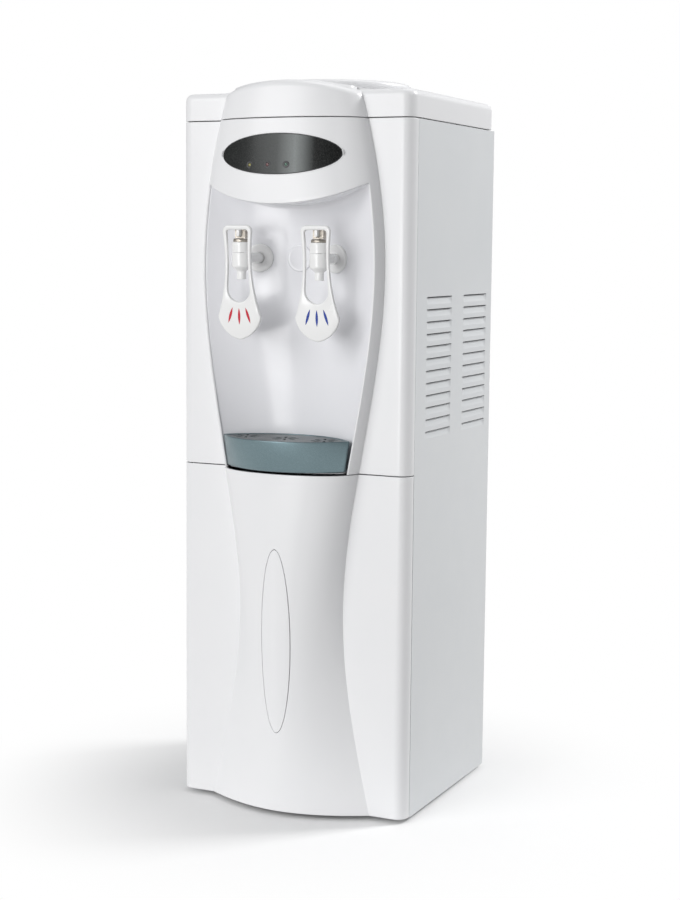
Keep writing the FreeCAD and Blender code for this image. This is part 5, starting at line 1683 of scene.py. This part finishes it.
@dataclass
class DripTray:
    """The slate drip tray and its grille."""

    floor: float = 468.4
    height: float = 42.0
    half_low: float = 88.0
    half_top: float = 94.0
    front_low: float = 58.0
    front_top: float = 70.0
    back: float = 27.0
    lip: float = -19.0
    wall: float = 2.5
    ledge: float = 6.0
    grille: float = 3.0
    petals: int = 8
    flowers: tuple[float, ...] = (-58.0, 0.0, 58.0)

    def ring(self, height: float, inset: float) -> list[Vector]:
        """The lens-shaped outline at a height.

        Args:
            height: where it is taken.
            inset: how far it is drawn in.

        Returns:
            The outline, once round.
        """
        share = (height - self.floor) / self.height
        half = self.half_low + (self.half_top - self.half_low) * share - 1.6 * inset
        steps = 48
        front = self.front_low + (self.front_top - self.front_low) * share - inset
        rear = arc((-half, self.lip), (0, self.back - inset), (half, self.lip), steps)
        fore = arc((half, self.lip), (0, -front), (-half, self.lip), steps)
        return [Vector((point.x, point.y, height)) for point in rear[:-1] + fore[:-1]]

    def build(self) -> None:
        """Build the tray and the grille."""
        self.build_tray()
        self.build_grille()

    def build_tray(self) -> None:
        """Loft the tray outside, over its rim and down its basin."""
        top = self.floor + self.height
        seat = top - self.grille - 1
        floor, wall, ledge = self.floor, self.wall, self.ledge
        levels = [(floor, 1.6), (floor + 0.4, 0.6), (floor + 1.6, 0.0), (floor + 20, 0.0), (top - 1.2, 0.0),
                  (top - 0.3, 0.3), (top, 1.0), (top, wall - 0.9), (top - 0.3, wall - 0.2), (top - 1.2, wall),
                  (seat, wall), (seat, ledge - 0.5), (seat - 1, ledge), (floor + wall + 3, ledge),
                  (floor + wall, ledge + 3)]
        rings = [self.ring(height, inset) for height, inset in levels]
        columns = len(rings[0])
        bm = Patch(columns, len(rings) - 1, lambda column, row: rings[row][column % columns]).bm
        bmesh.ops.remove_doubles(bm, verts=bm.verts, dist=WELD)
        bmesh.ops.holes_fill(bm, edges=[edge for edge in bm.edges if edge.is_boundary], sides=0)
        settle(Part("slate_tray", "tray", "tray_grey", SLATE, ("drip_tray",)), bm)

    def build_grille(self) -> None:
        """Cut the flower slots in the grille plate."""
        top = self.floor + self.height - 0.9
        bm = bmesh.new()
        loops = [[(point.x, point.y) for point in self.ring(top, self.wall + 0.6)]]
        middle = (self.back - self.front_top) / 2 + 1
        for flower in self.flowers:
            for index in range(self.petals):
                turn = (index + 0.5) * FULL_TURN / self.petals
                loops.append([(flower + along * math.cos(turn) - aside * math.sin(turn),
                               middle + along * math.sin(turn) + aside * math.cos(turn))
                              for along, aside in self.petal()])
        edges = []
        for loop in loops:
            verts = [bm.verts.new((across, depth, top)) for across, depth in loop]
            edges += [bm.edges.new((first, second)) for first, second in zip(verts, verts[1:] + verts[:1])]
        bmesh.ops.triangle_fill(bm, use_beauty=True, use_dissolve=False, edges=edges, normal=(0, 0, 1))
        made = bmesh.ops.extrude_face_region(bm, geom=bm.faces[:])["geom"]
        bmesh.ops.translate(bm, vec=(0, 0, -self.grille + 0.3),
                            verts=[item for item in made if isinstance(item, bmesh.types.BMVert)])
        # the grille's darker slate is painted shade for the top of the tray
        piece = settle(Part("slate_grille", "grille", "tray_grey", SLATE_PAINTED_SHADE, ("drip_grille",)), bm)
        soften_edges(piece, 0.4, 50.0, 2)

    def petal(self) -> list[tuple[float, float]]:
        """One slot's outline, narrow at the flower's middle and round outside.

        Returns:
            Its points.
        """
        outline = softened(((6.0, -0.9, 0.7), (16.0, -2.4, 2.4), (19.5, 0.0, 2.4), (16.0, 2.4, 2.4),
                            (6.0, 0.9, 0.7)), 4, True)
        return [(point.x, point.y) for point in outline]


# ---------------------------------------------------------------- carried-over nodes

NODE_FINISHES = {
    ZINC: ("base_pan", "door_hinges", "tank_shelf", "tank_cradle"),
    RUBBER: ("feet", "cord_gland"),
    COAT_WHITE: ("back_panel",),
    TAP_WHITE: ("tap_lock_nuts", "drain_spout", "drain_cap"),
    NICKEL: ("hot_valve_stem", "cold_valve_stem", "hot_pivot_pin", "cold_pivot_pin"),
    TANK_STEEL: ("cold_tank", "hot_tank", "hot_valve_spring", "cold_valve_spring"),
    SILICONE: ("silicone_hoses", "hot_valve_seal", "cold_valve_seal"),
    BOARD: ("indicator_board",),
    FOAM: ("cold_tank_jacket",),
    ALUMINIUM: ("cooling_block", "heat_sink"),
    CERAMIC: ("thermoelectric_module",),
    BLACK: ("door_catch", "fan_frame", "fan_rotor", "switch_housing", "power_supply"),
    LINER_WHITE: ("door_liner", "storage_compartment"),
    ROCKER_RED: ("hot_rocker",),
    ROCKER_GREEN: ("cold_rocker",),
}


def dress_nodes() -> None:
    """Give the frame's own nodes that stay in sight their finishes."""
    for finish, names in NODE_FINISHES.items():
        for name in names:
            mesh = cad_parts[name].data
            mesh.materials.clear()
            mesh.materials.append(finish.material())
            log.info("%s: %s", name, finish.name)


@dataclass
class RearScrews:
    """The screws of the back panel."""

    across: float = 162.0
    rows: int = 4
    low: float = 60.0
    high: float = 870.0
    face: float = CABINET_DEPTH - 3.6

    def build(self) -> None:
        """Build all the heads as one piece."""
        dome = softened(((0, 1.3, 0), (0.9, 1.3, 0.2), (1.3, 2.1, 0.2), (2.6, 1.9, 0.8), (3.5, 0.5, 0.5),
                         (3.5, 0, 0), (0, 0, 0)), 2)
        heads = []
        for side in (-1, 1):
            for row in range(self.rows):
                height = self.low + (self.high - self.low) * row / (self.rows - 1)
                foot = Vector((side * self.across, self.face, height))
                heads.append(lathe(dome, foot, Vector((0, 1, 0)), 20))
        settle(Part("screw_heads", "cabinet", "zinc_steel", ZINC, ("panel_screws",)), join(*heads))


# ---------------------------------------------------------------- studio

@dataclass
class Studio:
    """Floor, lights and camera."""

    eye: tuple[float, float, float] = (1.04993, -2.22974, 0.77456)
    heading: float = 0.4347
    dip: float = 0.1173
    roll: float = 0.0095
    lens: float = 70.456
    floor_half: float = 14.0
    floor_bounce: float = 0.3
    haze_start: float = 0.1
    haze_end: float = 0.55
    room_light: float = 0.34

    def build(self) -> None:
        """Set the studio up."""
        self.build_floor()
        self.build_lights()
        self.build_camera()

    def build_floor(self) -> None:
        """Lay a plain pale floor."""
        bm = bmesh.new()
        bmesh.ops.create_grid(bm, x_segments=1, y_segments=1, size=self.floor_half)
        mesh = bpy.data.meshes.new("floor")
        bm.to_mesh(mesh)
        bm.free()
        floor = bpy.data.objects.new("floor", mesh)
        bpy.context.scene.collection.objects.link(floor)
        graph = Graph("pale_floor")
        tone = graph.blend(graph.noise(2.0), (0.9, 0.9, 0.9), (0.93, 0.93, 0.93))
        far = graph.add("ShaderNodeVectorMath", Vector=graph.place)
        far.operation = "LENGTH"
        haze = graph.add("ShaderNodeMapRange", Value=far.outputs["Value"], From_Min=self.haze_start,
                         From_Max=self.haze_end)
        haze.interpolation_type = "SMOOTHSTEP"
        graph.feed(graph.shader.inputs["Base Color"], graph.blend(haze.outputs[0], tone, (0.0, 0.0, 0.0)))
        soft = graph.add("ShaderNodeLightPath").outputs["Is Diffuse Ray"]
        share = graph.spread(soft, 1.0, self.floor_bounce, 0.0, 1.0)
        graph.feed(graph.shader.inputs["Emission Strength"], graph.product(haze.outputs[0], share))
        graph.shader.inputs["Emission Color"].default_value = (1, 1, 1, 1)
        graph.shader.inputs["Specular IOR Level"].default_value = 0.0
        graph.shader.inputs["Roughness"].default_value = 0.9
        mesh.materials.append(graph.material)

    def build_lights(self) -> None:
        """Hang soft panels in a white room."""
        world = bpy.data.worlds.new("white_room")
        bpy.context.scene.world = world
        world.use_nodes = True
        nodes, links = world.node_tree.nodes, world.node_tree.links
        room = nodes["Background"]
        room.inputs[0].default_value = (0.97, 0.98, 1.0, 1)
        room.inputs[1].default_value = self.room_light
        white = nodes.new("ShaderNodeBackground")
        white.inputs[1].default_value = 1.0
        white.inputs[0].default_value = (1, 1, 1, 1)
        seen = nodes.new("ShaderNodeLightPath")
        mix = nodes.new("ShaderNodeMixShader")
        links.new(seen.outputs["Is Camera Ray"], mix.inputs[0])
        links.new(room.outputs[0], mix.inputs[1])
        links.new(white.outputs[0], mix.inputs[2])
        links.new(mix.outputs[0], nodes["World Output"].inputs[0])
        panels = (
            ("key_panel", (-2.8, -5.4, 3.0), (0, -0.1, 0.4), 3.8, 168),
            ("front_panel", (-0.4, -3.6, 0.5), (0, 0, 0.15), 1.4, 42),
            ("side_panel", (2.3, 1.9, 2.9), (0.16, 0, 1.3), 0.9, 102),
            ("top_panel", (0.0, 0.6, 3.2), (0, 0, 0.9), 1.6, 12),
        )
        for name, place, aim, size, power in panels:
            lamp = bpy.data.lights.new(name, "AREA")
            lamp.size = size
            lamp.energy = power
            holder = bpy.data.objects.new(name, lamp)
            bpy.context.scene.collection.objects.link(holder)
            holder.location = place
            holder.rotation_euler = (Vector(aim) - Vector(place)).to_track_quat("-Z", "Y").to_euler()

    def build_camera(self) -> None:
        """Place the camera."""
        bpy.context.scene.view_settings.view_transform = "Standard"
        camera = bpy.data.objects.new("camera", bpy.data.cameras.new("camera"))
        bpy.context.scene.collection.objects.link(camera)
        camera.data.lens = self.lens
        camera.data.sensor_width = 36
        camera.data.sensor_fit = "AUTO"
        camera.location = self.eye
        turn = (Matrix.Rotation(self.heading, 3, "Z") @ Matrix.Rotation(math.pi / 2 - self.dip, 3, "X")
                @ Matrix.Rotation(self.roll, 3, "Z"))
        camera.rotation_euler = turn.to_euler()
        bpy.context.scene.camera = camera


def main() -> None:
    """Build every sub-assembly in order."""
    niche = Niche()
    for assembly in (Studio(), UpperFront(niche), niche, Door(), TopCover(), SidePanel(-1, "left"),
                     SidePanel(1, "right"), TapRow(niche), DripTray(), RearScrews()):
        assembly.build()
        log.info("built %s", type(assembly).__name__)
    dress_nodes()


if __name__ == "__main__":
    main()
